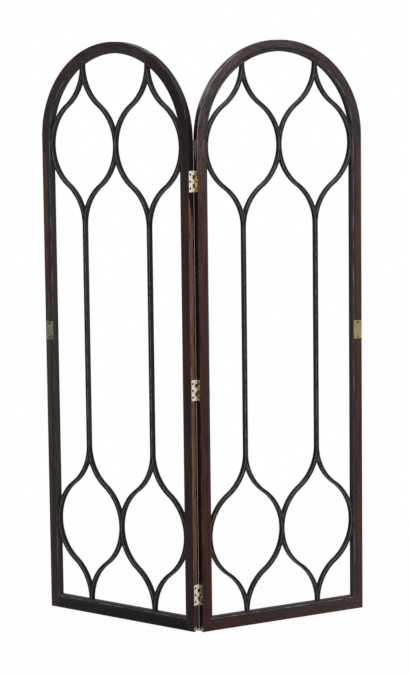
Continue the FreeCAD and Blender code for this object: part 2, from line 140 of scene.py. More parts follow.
class Pick(Enum):
    """What a selection in edit mode takes."""

    FACE = "FACE"
    EDGE = "EDGE"


class Leaf:
    """One leaf in its own frame: X from the pin outwards, Y to the back and Z up."""

    def __init__(self, side: Side) -> None:
        """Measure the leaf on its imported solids.

        Args:
            side: Which of the two leaves it is.
        """
        joint = frame["joints"][0]
        pin = Vector((joint["pos_m"][0], joint["pos_m"][1], 0))
        self.side = side
        self.turn = side.value * math.radians(-joint["range_deg"][0] / 2)
        mirror = Matrix.Diagonal((side.value, 1, 1, 1))
        self.stand = Matrix.Translation(pin) @ Matrix.Rotation(self.turn, 4, "Z") @ mirror
        hinge_low, hinge_high = self.box("hinge_stile")
        _, outer_high = self.box("outer_stile")
        _, rail_high = self.box("bottom_rail")
        self.front = hinge_low.y
        self.thickness = hinge_high.y - hinge_low.y
        self.springing = hinge_high.z
        self.stile_width = hinge_high.x - hinge_low.x
        self.rail_height = rail_high.z
        self.radius = (outer_high.x - hinge_low.x) / 2
        self.middle = (outer_high.x + hinge_low.x) / 2

    def node(self, name: str) -> Piece:
        """The leaf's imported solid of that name."""
        return frame["nodes"][f"{self.side.word}_{name}"]

    def points(self, name: str) -> list[Vector]:
        """The corners of one of the leaf's solids, in the leaf's frame."""
        back = self.stand.inverted()
        return [back @ vertex.co for vertex in self.node(name).data.vertices]

    def box(self, name: str) -> tuple[Vector, Vector]:
        """The lowest and the highest corner of one of the leaf's solids, in the leaf's frame."""
        return extent(self.points(name))

    @property
    def hub(self) -> Vector:
        """The arch's centre on the front face, in the row frame."""
        return self.stand @ Vector((self.middle, self.front, self.springing))


class Graph:
    """A node tree with short ways to add nodes and join them."""

    def __init__(self, tree: bpy.types.NodeTree) -> None:
        """Take over a tree."""
        self.tree = tree

    def add(self, kind: str, **settings: object) -> bpy.types.Node:
        """Add a node and set its properties.

        Args:
            kind: The node's type without its prefix.
            settings: Properties of the node.

        Returns:
            The new node.
        """
        node = self.tree.nodes.new(f"ShaderNode{kind}")
        for name, setting in settings.items():
            setattr(node, name, setting)
        return node

    def feed(self, socket: Socket, value: Value) -> None:
        """Link a socket to another one, or set its own value.

        Args:
            socket: The socket to feed.
            value: The other socket, or the value.
        """
        if isinstance(value, Socket):
            self.tree.links.new(value, socket)
        else:
            socket.default_value = value

    def math(self, operation: str, *values: Value, clamp: bool = False) -> Socket:
        """Work out one step of arithmetic.

        Args:
            operation: The step's name.
            values: One to three inputs.
            clamp: Whether the result is kept between 0 and 1.

        Returns:
            The result.
        """
        node = self.add("Math", operation=operation, use_clamp=clamp)
        for socket, value in zip(node.inputs, values):
            self.feed(socket, value)
        return node.outputs[0]

    def blend(self, share: Value, low: Value, high: Value) -> Socket:
        """Mix two colours by a share.

        Args:
            share: How much of the second colour is taken.
            low, high: The first and the second colour.

        Returns:
            The mixed colour.
        """
        node = self.add("Mix", data_type="RGBA")
        for index, value in ((0, share), (6, low), (7, high)):
            self.feed(node.inputs[index], value)
        return node.outputs[2]

    def step(self, value: Value, start: Value, end: Value, low: float = 0, high: float = 1) -> Socket:
        """Ease from low to high as a value goes from start to end.

        Args:
            value: The value to follow.
            start, end: Where the easing begins and ends.
            low, high: The results there.

        Returns:
            The eased value.
        """
        node = self.add("MapRange", interpolation_type="SMOOTHSTEP")
        for socket, setting in zip(node.inputs, (value, start, end, low, high)):
            self.feed(socket, setting)
        return node.outputs[0]

    def split(self, vector: Socket) -> Sockets:
        """Part a vector into its X, Y and Z.

        Args:
            vector: The vector.

        Returns:
            Its three parts.
        """
        node = self.add("SeparateXYZ")
        self.feed(node.inputs[0], vector)
        return node.outputs

    def product(self, *values: Value) -> Socket:
        """Multiply two or more values.

        Args:
            values: The values.

        Returns:
            Their product.
        """
        result = values[0]
        for value in values[1:]:
            result = self.math("MULTIPLY", result, value)
        return result

    def noise(self, vector: Socket, scale: Scale, detail: float = 2, warp: float = 0) -> Socket:
        """Make smooth noise between 0 and 1.

        Args:
            vector: The place.
            scale: How fine the noise is, on all axes or on each of them.
            detail: How many finer layers it has.
            warp: How far it is distorted.

        Returns:
            The noise.
        """
        node = self.add("TexNoise")
        if isinstance(scale, tuple):
            stretch = self.add("VectorMath", operation="MULTIPLY")
            self.feed(stretch.inputs[0], vector)
            self.feed(stretch.inputs[1], scale)
            vector, scale = stretch.outputs[0], 1
        for name, value in (("Vector", vector), ("Scale", scale), ("Detail", detail), ("Distortion", warp)):
            self.feed(node.inputs[name], value)
        return node.outputs[0]

    def place(self, group: bpy.types.NodeTree, **inputs: Value) -> Sockets:
        """Place a node group and feed its inputs.

        Args:
            group: The group's tree.
            inputs: Values by socket name.

        Returns:
            The placed group's outputs.
        """
        node = self.add("Group", node_tree=group)
        for name, value in inputs.items():
            self.feed(node.inputs[name], value)
        return node.outputs


class Effect:
    """A shared shader effect, kept as one node group with named sockets."""

    label: str
    inputs: dict[str, str]
    outputs: Sequence[str]

    def tree(self) -> bpy.types.NodeTree:
        """Find the effect's group, or build it the first time.

        Returns:
            The group's tree.
        """
        found = bpy.data.node_groups.get(self.label)
        if found:
            return found
        tree = bpy.data.node_groups.new(self.label, "ShaderNodeTree")
        for name, kind in self.inputs.items():
            tree.interface.new_socket(name, in_out="INPUT", socket_type=f"NodeSocket{kind}")
        for name in self.outputs:
            tree.interface.new_socket(name, in_out="OUTPUT", socket_type="NodeSocketFloat")
        graph = Graph(tree)
        given = tree.nodes.new("NodeGroupInput").outputs
        result = tree.nodes.new("NodeGroupOutput").inputs
        for name, socket in self.draw(graph, given).items():
            graph.feed(result[name], socket)
        return tree

    def draw(self, graph: Graph, given: Sockets) -> dict[str, Socket]:
        """Draw the effect from its inputs.

        Args:
            graph: The group's tree.
            given: The group's inputs.

        Returns:
            A socket for every output's name.
        """
        raise NotImplementedError


class LeafPlace(Effect):
    """Where a point lies on the frame of a leaf.

    Across runs in from the outer edge, Arc round the arch from its outer end, Below down from the
    springing, Drop the same but less than 0 up along the arch, and Depth in from the front face.
    """

    label = "Leaf place"
    inputs = {"Place": "Vector", "Radius": "Float"}
    outputs = ("Across", "Arc", "Below", "Drop", "Depth")

    def draw(self, graph: Graph, given: Sockets) -> dict[str, Socket]:
        """Measure the distance from the arch's centre, or from the leaf's middle below it.

        Args:
            graph: The group's tree.
            given: The group's inputs.

        Returns:
            A socket for every output's name.
        """
        x, depth, z = graph.split(given["Place"])
        above = graph.math("MAXIMUM", z, 0.0)
        square = graph.math("ADD", graph.product(x, x), graph.product(above, above))
        steep = graph.math("ARCTAN2", above, graph.math("ABSOLUTE", x))
        below = graph.product(graph.math("MINIMUM", z, 0.0), -1.0)
        return {
            "Across": graph.math("SUBTRACT", given["Radius"], graph.math("SQRT", square)),
            "Arc": graph.product(graph.math("ARCTAN2", above, x), given["Radius"]),
            "Below": below,
            "Drop": graph.math("SUBTRACT", below, graph.product(steep, given["Radius"])),
            "Depth": depth,
        }


class WoodGrain(Effect):
    """Figure, fibres and open pores of a board whose grain runs along Z."""

    label = "Wood grain"
    inputs = {"Vector": "Vector"}
    outputs = ("Figure", "Fibre", "Pores", "Height")
    figure_scale = (90, 90, 5)
    figure_range = (0.32, 0.68)
    fibre_scale = (420, 420, 14)
    fibre_range = (0.3, 0.7)
    fibre_rise = 0.4
    pore_scale = (1500, 1500, 60)
    pore_range = (0.6, 0.74)

    def draw(self, graph: Graph, given: Sockets) -> dict[str, Socket]:
        """Stretch noise along the grain at three scales.

        Args:
            graph: The group's tree.
            given: The group's inputs.

        Returns:
            A socket for every output's name.
        """
        vector = given["Vector"]
        figure = graph.noise(vector, self.figure_scale, detail=4, warp=0.9)
        fibre = graph.noise(vector, self.fibre_scale, detail=3)
        pores = graph.step(graph.noise(vector, self.pore_scale, detail=1), *self.pore_range)
        return {
            "Figure": graph.step(figure, *self.figure_range),
            "Fibre": graph.step(fibre, *self.fibre_range),
            "Pores": pores,
            "Height": graph.math("SUBTRACT", graph.product(fibre, self.fibre_rise), pores),
        }


class InnerDarkening(Effect):
    """Darkening towards the inner edge of a member."""

    label = "Inner darkening"
    inputs = {"Vector": "Vector", "Share": "Float", "Height": "Float", "From": "Float", "To": "Float",
              "Foot": "Float"}
    outputs = ("Mask",)
    cloud_scale = (30, 30, 6)
    waver = 0.6
    foot_range = (0.55, 0.05)

    def draw(self, graph: Graph, given: Sockets) -> dict[str, Socket]:
        """Waver the boundary with noise and let it spread near the floor.

        Args:
            graph: The group's tree.
            given: The group's inputs.

        Returns:
            A socket for every output's name.
        """
        cloud = graph.noise(given["Vector"], self.cloud_scale, detail=5, warp=0.4)
        waver = graph.math("MULTIPLY_ADD", cloud, self.waver, -self.waver / 2)
        foot = graph.product(graph.step(given["Height"], *self.foot_range), given["Foot"])
        reach = graph.math("ADD", graph.math("ADD", given["Share"], waver), foot)
        return {"Mask": graph.step(reach, given["From"], given["To"])}


class ArrisWearAndHighlights(Effect):
    """Polish worn through along the arrises of a member, and painted highlight lines along both front
    arrises.
    """

    label = "Arris wear and highlights"
    inputs = {"Vector": "Vector", "Across": "Float", "Depth": "Float", "Width": "Float",
              "Thickness": "Float", "Amount": "Float"}
    outputs = ("Mask", "Line", "Rim")
    rub_reach = (2.0 * MM, 0.2 * MM)
    patch_scale = 22
    patch_range = (0.47, 0.66)
    speck_scale = 420
    speck_range = (0.3, 0.7)
    highlight_reach = (3.0 * MM, 1.2 * MM)
    break_scale = (40, 40, 12)
    break_range = (0.4, 0.62)
    highlight_least = 0.15

    def draw(self, graph: Graph, given: Sockets) -> dict[str, Socket]:
        """Take the distance to the nearest arris, broken up into patches.

        Args:
            graph: The group's tree.
            given: The group's inputs.

        Returns:
            A socket for every output's name.
        """
        vector, across, depth = given["Vector"], given["Across"], given["Depth"]
        far_edge = graph.math("SUBTRACT", given["Width"], across)
        far_face = graph.math("SUBTRACT", given["Thickness"], depth)
        edge = graph.math("MINIMUM", across, far_edge)
        face = graph.math("MINIMUM", depth, far_face)
        near = graph.step(graph.math("MAXIMUM", edge, face), *self.rub_reach)
        patch = graph.step(graph.noise(vector, self.patch_scale, detail=3), *self.patch_range)
        speck = graph.step(graph.noise(vector, self.speck_scale, detail=5), *self.speck_range)
        streak = graph.noise(vector, self.break_scale, detail=4)
        broken = graph.step(streak, *self.break_range, self.highlight_least, 1)
        # Painted highlight lines along the inner and outer front arrises.
        inner = graph.step(graph.math("MAXIMUM", far_edge, depth), *self.highlight_reach)
        outer = graph.step(graph.math("MAXIMUM", across, depth), *self.highlight_reach)
        return {
            "Mask": graph.math("MULTIPLY", graph.product(near, patch, speck), given["Amount"], clamp=True),
            "Line": graph.product(inner, broken),
            "Rim": graph.product(outer, broken),
        }


class Bloom(Effect):
    """Grey haze in old polish, streaked along the grain."""

    label = "Bloom"
    inputs = {"Vector": "Vector", "Below": "Float", "Amount": "Float"}
    outputs = ("Mask",)
    haze_scale = (130, 130, 22)
    haze_range = (0.42, 0.66)
    lowest = 0.32

    def draw(self, graph: Graph, given: Sockets) -> dict[str, Socket]:
        """Cut streaks out of noise and let them fade below the arch.

        Args:
            graph: The group's tree.
            given: The group's inputs.

        Returns:
            A socket for every output's name.
        """
        haze = graph.noise(given["Vector"], self.haze_scale, detail=5, warp=0.6)
        fade = graph.step(given["Below"], self.lowest, 0.0)
        streaks = graph.product(graph.step(haze, *self.haze_range), fade)
        return {"Mask": graph.math("MULTIPLY", streaks, given["Amount"], clamp=True)}


class Scuffs(Effect):
    """Pale specks here and there, and knocks on the feet."""

    label = "Scuffs"
    inputs = {"Vector": "Vector", "Height": "Float", "Amount": "Float"}
    outputs = ("Specks", "Knocks")
    speck_scale = (300, 300, 170)
    speck_range = (0.66, 0.78)
    patch_scale = 9
    patch_range = (0.5, 0.68)
    chip_scale = (170, 170, 110)
    chip_range = (0.66, 0.92)
    foot_range = (24 * MM, 4 * MM)
    foot_gain = 0.3
    foot_fade = 0.06

    def draw(self, graph: Graph, given: Sockets) -> dict[str, Socket]:
        """Cut specks and chips out of noise, gathered in patches or close to the floor.

        Args:
            graph: The group's tree.
            given: The group's inputs.

        Returns:
            A socket for every output's name.
        """
        vector = given["Vector"]
        specks = graph.step(graph.noise(vector, self.speck_scale, detail=3, warp=1.2), *self.speck_range)
        patch = graph.step(graph.noise(vector, self.patch_scale, detail=3), *self.patch_range)
        low = graph.step(given["Height"], *self.foot_range, 0, self.foot_gain)
        chips = graph.math("ADD", graph.noise(vector, self.chip_scale, detail=6), low)
        knocks = graph.step(chips, *self.chip_range)
        return {
            "Specks": graph.math("MULTIPLY", graph.product(specks, patch), given["Amount"], clamp=True),
            "Knocks": graph.product(knocks, graph.step(low, 0, self.foot_fade)),
        }


class Dust(Effect):
    """Dust settled on what faces up."""

    label = "Settled dust"
    inputs = {"Vector": "Vector", "Amount": "Float"}
    outputs = ("Mask",)
    level_range = (0.55, 0.98)
    film_scale = 160
    film_range = (0.3, 0.75)
    film_least = 0.35

    def draw(self, graph: Graph, given: Sockets) -> dict[str, Socket]:
        """Mask by the upward part of the normal, broken up finely.

        Args:
            graph: The group's tree.
            given: The group's inputs.

        Returns:
            A socket for every output's name.
        """
        up = graph.split(graph.add("NewGeometry").outputs["Normal"])[2]
        cloud = graph.noise(given["Vector"], self.film_scale, detail=4)
        film = graph.step(cloud, *self.film_range, self.film_least, 1)
        return {"Mask": graph.product(graph.step(up, *self.level_range), film, given["Amount"])}


class Tarnish(Effect):
    """Brown tarnish and fine scratches on brass."""

    label = "Tarnish"
    inputs = {"Vector": "Vector", "Amount": "Float"}
    outputs = ("Mask", "Scratches")
    cloud_scale = 90
    cloud_range = (0.35, 0.7)
    spot_scale = 520
    spot_range = (0.6, 0.72)
    spot_share = 0.5
    scratch_scale = (240, 240, 2600)
    scratch_range = (0.3, 0.7)

    def draw(self, graph: Graph, given: Sockets) -> dict[str, Socket]:
        """Cloud the metal at two scales and draw scratches across it.

        Args:
            graph: The group's tree.
            given: The group's inputs.

        Returns:
            A socket for every output's name.
        """
        vector = given["Vector"]
        cloud = graph.step(graph.noise(vector, self.cloud_scale, detail=5, warp=0.6), *self.cloud_range)
        spots = graph.step(graph.noise(vector, self.spot_scale), *self.spot_range)
        film = graph.math("ADD", cloud, graph.product(spots, self.spot_share))
        return {
            "Mask": graph.math("MULTIPLY", film, given["Amount"], clamp=True),
            "Scratches": graph.step(graph.noise(vector, self.scratch_scale), *self.scratch_range),
        }


class Grime(Effect):
    """Dark dirt caught round a screw's head."""

    label = "Screw grime"
    inputs = {"Vector": "Vector", "Head": "Vector", "Radius": "Float"}
    outputs = ("Mask",)
    spread = (1.4 * MM, 0.5 * MM)
    ragged = 1.0 * MM
    ragged_scale = 700

    def draw(self, graph: Graph, given: Sockets) -> dict[str, Socket]:
        """Fade out from the head's rim, with a ragged border.

        Args:
            graph: The group's tree.
            given: The group's inputs.

        Returns:
            A socket for every output's name.
        """
        away = graph.add("VectorMath", operation="DISTANCE")
        graph.feed(away.inputs[0], given["Vector"])
        graph.feed(away.inputs[1], given["Head"])
        ragged = graph.product(graph.noise(given["Vector"], self.ragged_scale), self.ragged)
        rim = graph.math("SUBTRACT", graph.math("ADD", away.outputs["Value"], ragged), given["Radius"])
        return {"Mask": graph.step(rim, *self.spread)}


class Finish:
    """What every finish does: start a material and put it on a piece."""

    @staticmethod
    def start(name: str) -> tuple[Material, Graph, bpy.types.Node]:
        """Start a material with one shader.

        Args:
            name: The material's name.

        Returns:
            The material, its graph and its Principled shader.
        """
        material = bpy.data.materials.new(name)
        material.use_nodes = True
        tree = material.node_tree
        return material, Graph(tree), tree.nodes["Principled BSDF"]

    @staticmethod
    def bump(graph: Graph, shader: bpy.types.Node, height: Socket, rise: float) -> None:
        """Raise the surface by a height between 0 and 1.

        Args:
            graph: The material's graph.
            shader: Its shader.
            height: The height to follow.
            rise: How far a height of 1 stands up.
        """
        node = graph.add("Bump")
        node.inputs["Strength"].default_value = 1.0
        node.inputs["Distance"].default_value = rise
        graph.feed(node.inputs["Height"], height)
        graph.feed(shader.inputs["Normal"], node.outputs[0])

    @staticmethod
    def put(material: Material, piece: Piece) -> None:
        """Give a piece one material all over and report it.

        Args:
            material: The material.
            piece: The piece.
        """
        piece.data.materials.clear()
        piece.data.materials.append(material)
        log.info("dressed %s in %s", piece.name, material.name)

    @staticmethod
    def leaf_vector(graph: Graph, leaf: Leaf) -> Socket:
        """Read the place on a leaf, from the arch's centre on its front face.

        Args:
            graph: The material's graph.
            leaf: The leaf.

        Returns:
            X towards the outer edge, Y to the back and Z up.
        """
        mapping = graph.add("Mapping", vector_type="TEXTURE")
        mapping.inputs["Location"].default_value = leaf.hub
        mapping.inputs["Rotation"].default_value = (0, 0, leaf.turn)
        mapping.inputs["Scale"].default_value = (leaf.side.value, 1, 1)
        graph.feed(mapping.inputs["Vector"], graph.add("TexCoord").outputs["Object"])
        return mapping.outputs[0]


@dataclass(frozen=True)
class Tone:
    """The two colours of a board's figure."""

    light: Colour
    deep: Colour


@dataclass(frozen=True)
class Cap:
    """The upper end of a member, toned like the one above it. Its foot is a drop on the leaf."""

    tone: Tone
    foot: float = 50 * MM
    fade: float = 6 * MM


@dataclass(frozen=True)
class Board:
    """One member of a frame: which way its grain lies and how its polish has aged.

    The colour darkens to black from the first to the second share of the width in dark, and foot is the
    share by which the dark spreads at the floor, or draws back if it is less than 0. An edge with the
    painted grey reflection on the arch stays black for black_foot above the springing. Line and rim are
    painted highlights on the inner and outer front arrises, shift moves the grain and lean turns it, in
    degrees from upright.
    """

    name: str
    tone: Tone
    lean: float = 0.0
    black: Colour = paint(42, 38, 40)
    dark: Range = (0.48, 0.72)
    is_rail: bool = False
    edge: Edge = Edge.POLISHED
    wear: float = 0.5
    # Strength of the painted highlight lines on the inner and outer front arrises.
    line: float = 0.35
    rim: float = 0.0
    gloss: float = 0.25
    black_foot: float = 0.0
    cap: Cap | None = None
    foot: float = 0.3
    bloom: float = 0.1
    shift: float = 0.0


@dataclass(frozen=True)
class Mahogany(Finish):
    """French-polished mahogany: red towards the outer edge and near-black towards the inner edge."""

    pore: Colour = paint(26, 17, 16)
    worn: Colour = paint(158, 140, 126)
    # Colour of the painted highlight lines along the front arrises.
    arris: Colour = paint(132, 128, 130)
    bare: Colour = paint(120, 91, 68)
    bare_shade: Colour = paint(80, 57, 42)
    dust: Colour = paint(120, 114, 108)
    gap: Colour = paint(12, 10, 10)
    edge_black: Colour = paint(22, 17, 17)
    edge_red: Colour = paint(62, 46, 41)
    # Grey of the painted ceiling reflection on upper outer edges.
    edge_sheen_grey: Colour = paint(134, 124, 118)
    haze: Colour = paint(104, 97, 102)
    knocked: Colour = paint(214, 210, 202)
    fibre_share: float = 0.35
    pore_share: float = 0.7
    pore_depth: float = 0.04 * MM
    haze_lost: float = 0.8
    roughness: Range = (0.3, 0.46)
    wear_dulling: float = 0.3
    dusty: float = 0.35
    dust_dulling: float = 4.0
    joint_reach: Range = (0.7 * MM, 0.1 * MM)
    joint_share: float = 0.8
    edge_reach: Range = (1.0 * MM, 0.4 * MM)
    edge_fibre: float = 0.3
    streak_scale: Scale = (220, 220, 18)
    # The painted grey reflection on upper edges: its streaked reach, how far below the springing it fades,
    # and the paler band at the back.
    grey_range: Range = (0.62, 0.4)
    grey_foot: float = 0.1
    grey_fade: float = 20 * MM
    black_fade: float = 25 * MM
    pale_back: Range = (20 * MM, 22 * MM)
    bare_top: float = 0.24
    bare_torn: float = 0.12
    bare_fade: float = 4 * MM
    bare_slant: float = 3.0
    bare_foot: Range = (0.15, 0.13)
    bare_back: Range = (23.5 * MM, 22 * MM)
    bare_ragged: float = 8 * MM
    bare_share: float = 0.75
    bare_streak: float = 0.5
    bare_range: Range = (0.88, 0.98)

    def make(self, leaf: Leaf, board: Board) -> Material:
        """Make the material of one member.

        Args:
            leaf: The leaf that the member belongs to.
            board: The member.

        Returns:
            The material.
        """
        material, graph, shader = self.start(f"{leaf.side.word}_{board.name}_mahogany")
        spot = self.leaf_vector(graph, leaf)
        where = graph.place(LeafPlace().tree(), Place=spot, Radius=leaf.radius)
        height = graph.math("SUBTRACT", leaf.springing, where["Below"])
        width = leaf.rail_height if board.is_rail else leaf.stile_width
        across = height if board.is_rail else where["Across"]
        along = self.grain_vector(graph, spot, board)
        grain = graph.place(WoodGrain().tree(), Vector=along)
        start, full = board.dark
        dark = graph.place(InnerDarkening().tree(), Vector=spot, Share=graph.math("DIVIDE", across, width),
                           Height=height, From=start, To=full, Foot=board.foot)
        wear = graph.place(ArrisWearAndHighlights().tree(), Vector=spot, Across=across, Depth=where["Depth"],
                           Width=width, Thickness=leaf.thickness, Amount=board.wear)
        scuffs = graph.place(Scuffs().tree(), Vector=spot, Height=height, Amount=board.wear)
        dust = graph.place(Dust().tree(), Vector=spot, Amount=self.dusty)
        bloom = graph.place(Bloom().tree(), Vector=along, Below=where["Below"], Amount=board.bloom)

        colour = self.wood_colour(graph, where, grain, board)
        # Darker towards the inner edge, and spreading near the floor.
        colour = graph.blend(dark["Mask"], colour, board.black)
        thin = graph.math("MULTIPLY_ADD", dark["Mask"], -self.haze_lost, 1.0)
        colour = graph.blend(graph.product(bloom["Mask"], thin), colour, self.haze)
        if board.edge is not Edge.POLISHED:
            side = self.edge_colour(graph, leaf, where, grain, board)
            side = graph.blend(scuffs["Knocks"], side, self.knocked)
            colour = graph.blend(graph.step(where["Across"], *self.edge_reach), colour, side)
        colour = graph.blend(self.joint_line(graph, leaf, spot, where, board), colour, self.gap)
        # Painted highlights along the inner front arris and, on the arch, the outer one.
        colour = graph.blend(graph.product(wear["Line"], board.line), colour, self.arris)
        rim = graph.product(wear["Rim"], self.upper(graph, where), board.rim)
        colour = graph.blend(rim, colour, self.arris)
        colour = graph.blend(wear["Mask"], colour, self.worn)
        colour = graph.blend(scuffs["Specks"], colour, self.knocked)
        colour = graph.blend(dust["Mask"], colour, self.dust)
        graph.feed(shader.inputs["Base Color"], colour)

        dull = graph.step(grain["Fibre"], 0, 1, *self.roughness)
        dull = graph.math("MULTIPLY_ADD", wear["Mask"], self.wear_dulling, dull)
        dull = graph.math("MULTIPLY_ADD", dust["Mask"], self.dust_dulling, dull, clamp=True)
        graph.feed(shader.inputs["Roughness"], dull)
        shader.inputs["Specular IOR Level"].default_value = board.gloss
        self.bump(graph, shader, grain["Height"], self.pore_depth)
        return material

    def grain_vector(self, graph: Graph, spot: Socket, board: Board) -> Socket:
        """Turn the place on the leaf so that Z runs along the board's grain.

        Args:
            graph: The material's graph.
            spot: The place on the leaf.
            board: The member.

        Returns:
            The turned place.
        """
        mapping = graph.add("Mapping", vector_type="POINT")
        mapping.inputs["Location"].default_value = (board.shift, board.shift, board.shift)
        mapping.inputs["Rotation"].default_value = (0, math.radians(board.lean), 0)
        graph.feed(mapping.inputs["Vector"], spot)
        return mapping.outputs[0]

    def wood_colour(self, graph: Graph, where: Sockets, grain: Sockets, board: Board) -> Socket:
        """Colour the wood under its polish, with the cap's tone at its upper end.

        Args:
            graph: The material's graph.
            where: The measures of the place on the leaf.
            grain: The board's grain.
            board: The member.

        Returns:
            The wood's colour.
        """
        light, deep = board.tone.light, board.tone.deep
        if board.cap:
            capped = graph.step(where["Drop"], board.cap.foot, board.cap.foot - board.cap.fade)
            light = graph.blend(capped, light, board.cap.tone.light)
            deep = graph.blend(capped, deep, board.cap.tone.deep)
        colour = graph.blend(grain["Figure"], deep, light)
        colour = graph.blend(graph.product(grain["Fibre"], self.fibre_share), colour, deep)
        return graph.blend(graph.product(grain["Pores"], self.pore_share), colour, self.pore)

    def joint_line(self, graph: Graph, leaf: Leaf, spot: Socket, where: Sockets, board: Board) -> Socket:
        """Mark the thin dark line where a member butts against its neighbour.

        Args:
            graph: The material's graph.
            leaf: The leaf.
            spot: The place on the leaf.
            where: The measures of that place.
            board: The member.

        Returns:
            The line's mask.
        """
        if board.is_rail:
            inside = graph.math("ABSOLUTE", graph.split(spot)[0])
            away = graph.math("SUBTRACT", leaf.radius - leaf.stile_width, inside)
        else:
            third = math.pi / 3 * leaf.radius
            away = graph.math("ADD", graph.math("PINGPONG", where["Arc"], third / 2), where["Below"])
        return graph.step(away, *self.joint_reach, 0, self.joint_share)

    def upper(self, graph: Graph, where: Sockets) -> Socket:
        """Mask the arch and the top of the stiles, where edges carry a painted grey reflection."""
        return graph.step(where["Below"], self.grey_foot, self.grey_foot - self.grey_fade)

    def edge_colour(self, graph: Graph, leaf: Leaf, where: Sockets, grain: Sockets, board: Board) -> Socket:
        """Colour the outer edge.

        Args:
            graph: The material's graph.
            leaf: The leaf.
            where: The measures of the place on it.
            grain: The board's grain.
            board: The member.

        Returns:
            The edge's colour.
        """
        black = graph.blend(graph.product(grain["Fibre"], self.edge_fibre), self.edge_black, board.tone.deep)
        if board.edge is Edge.BLACK:
            return black
        run = graph.add("CombineXYZ")
        for socket, value in zip(run.inputs, (where["Across"], where["Depth"], where["Drop"])):
            graph.feed(socket, value)
        streak = graph.noise(run.outputs[0], self.streak_scale, detail=6, warp=0.3)
        # Painted grey reflection of the ceiling on the upper edge, paler at the back, over black.
        if board.edge is Edge.PAINTED_SHEEN:
            grey = graph.blend(graph.step(where["Depth"], *self.pale_back), self.edge_sheen_grey, self.knocked)
            return graph.blend(self.painted_sheen(graph, where, streak, board), black, grey)
        foot = graph.step(graph.math("SUBTRACT", leaf.springing, where["Below"]), *self.bare_foot)
        polish = graph.blend(foot, black, self.edge_red)
        wood = graph.blend(grain["Fibre"], self.bare_shade, self.bare)
        return graph.blend(self.flaked(graph, where, streak, foot), polish, wood)

    def painted_sheen(self, graph: Graph, where: Sockets, streak: Socket, board: Board) -> Socket:
        """Mask the part of an edge that is painted grey as the ceiling's reflection.

        Args:
            graph: The material's graph.
            where: The measures of the place on the leaf.
            streak: Noise that runs along the edge.
            board: The member.

        Returns:
            The mask.
        """
        # The grey here is painted as the ceiling's reflection, streaked and fading down the arch.
        worn = graph.step(graph.math("ADD", streak, where["Below"]), *self.grey_range)
        grey = graph.product(worn, self.upper(graph, where))
        if not board.black_foot:
            return grey
        clear = graph.step(where["Drop"], -board.black_foot, -board.black_foot - self.black_fade)
        return graph.product(grey, clear)

    def flaked(self, graph: Graph, where: Sockets, streak: Socket, foot: Socket) -> Socket:
        """Mask the part of an edge that is bare wood: ragged, slanted at the top and not at the foot.

        Args:
            graph: The material's graph.
            where: The measures of the place on the leaf.
            streak: Noise that runs along the edge.
            foot: The mask of the foot.

        Returns:
            The mask.
        """
        slant = graph.math("MULTIPLY_ADD", where["Depth"], -self.bare_slant, where["Below"])
        torn = graph.math("MULTIPLY_ADD", streak, self.bare_torn, slant)
        low = graph.step(torn, self.bare_top, self.bare_top + self.bare_fade)
        ragged = graph.math("MULTIPLY_ADD", streak, self.bare_ragged, where["Depth"])
        shallow = graph.step(ragged, *self.bare_back)
        bare = graph.product(graph.math("SUBTRACT", low, foot, clamp=True), shallow)
        share = graph.math("MULTIPLY_ADD", bare, self.bare_share, graph.product(streak, self.bare_streak))
        return graph.step(share, *self.bare_range)


@dataclass(frozen=True)
class Ebonised(Finish):
    """Slender bars and slips stained near-black, with a painted highlight beside the nose and painted shade
    on the sides behind it.
    """

    black: Colour = paint(20, 19, 19)
    brown: Colour = paint(33, 30, 28)
    # Painted shade on the sides behind the highlight band.
    shade: Colour = paint(11, 11, 12)
    # Colour of the painted highlight band beside the nose.
    painted_sheen: Colour = paint(118, 116, 112)
    dust: Colour = paint(126, 122, 114)
    dusty: float = 0.12
    roughness: Range = (0.24, 0.38)
    gloss: float = 0.08
    fibre_share: float = 0.4
    pore_depth: float = 0.03 * MM
    cloud_scale: Scale = 16
    cloud_range: Range = (0.42, 0.7)
    # The band beside the nose carries the painted highlight in patches; beyond its reach the sides carry
    # painted shade.
    shoulder: Range = (2.0 * MM, 3.0 * MM)
    rub: float = 0.55
    rub_reach: float = 5.5 * MM
    rub_scale: Scale = 60
    rub_range: Range = (0.35, 0.65)
    rub_least: float = 0.4

    def make(self, leaf: Leaf, name: str) -> Material:
        """Make the material for one kind of piece on a leaf.

        Args:
            leaf: The leaf.
            name: The kind of piece.

        Returns:
            The material.
        """
        material, graph, shader = self.start(f"{leaf.side.word}_{name}_ebonised")
        spot = self.leaf_vector(graph, leaf)
        grain = graph.place(WoodGrain().tree(), Vector=spot)
        dust = graph.place(Dust().tree(), Vector=spot, Amount=self.dusty)

        cloud = graph.step(graph.noise(spot, self.cloud_scale, detail=4), *self.cloud_range)
        colour = graph.blend(cloud, self.black, self.brown)
        colour = graph.blend(graph.product(grain["Fibre"], self.fibre_share), colour, self.black)
        # Painted shade on the deep sides and a painted highlight band beside the nose, at both faces.
        depth = graph.split(spot)[1]
        near = graph.math("MINIMUM", depth, graph.math("SUBTRACT", leaf.thickness, depth))
        crest = self.shoulder[1]
        colour = graph.blend(graph.step(near, crest, self.rub_reach), colour, self.shade)
        patch = graph.step(graph.noise(spot, self.rub_scale, detail=4), *self.rub_range, self.rub_least, 1)
        band = graph.product(graph.step(near, *self.shoulder), graph.step(near, self.rub_reach, crest))
        colour = graph.blend(graph.product(band, patch, self.rub), colour, self.painted_sheen)
        colour = graph.blend(dust["Mask"], colour, self.dust)
        graph.feed(shader.inputs["Base Color"], colour)
        graph.feed(shader.inputs["Roughness"], graph.step(grain["Fibre"], 0, 1, *self.roughness))
        shader.inputs["Specular IOR Level"].default_value = self.gloss
        self.bump(graph, shader, grain["Height"], self.pore_depth)
        return material


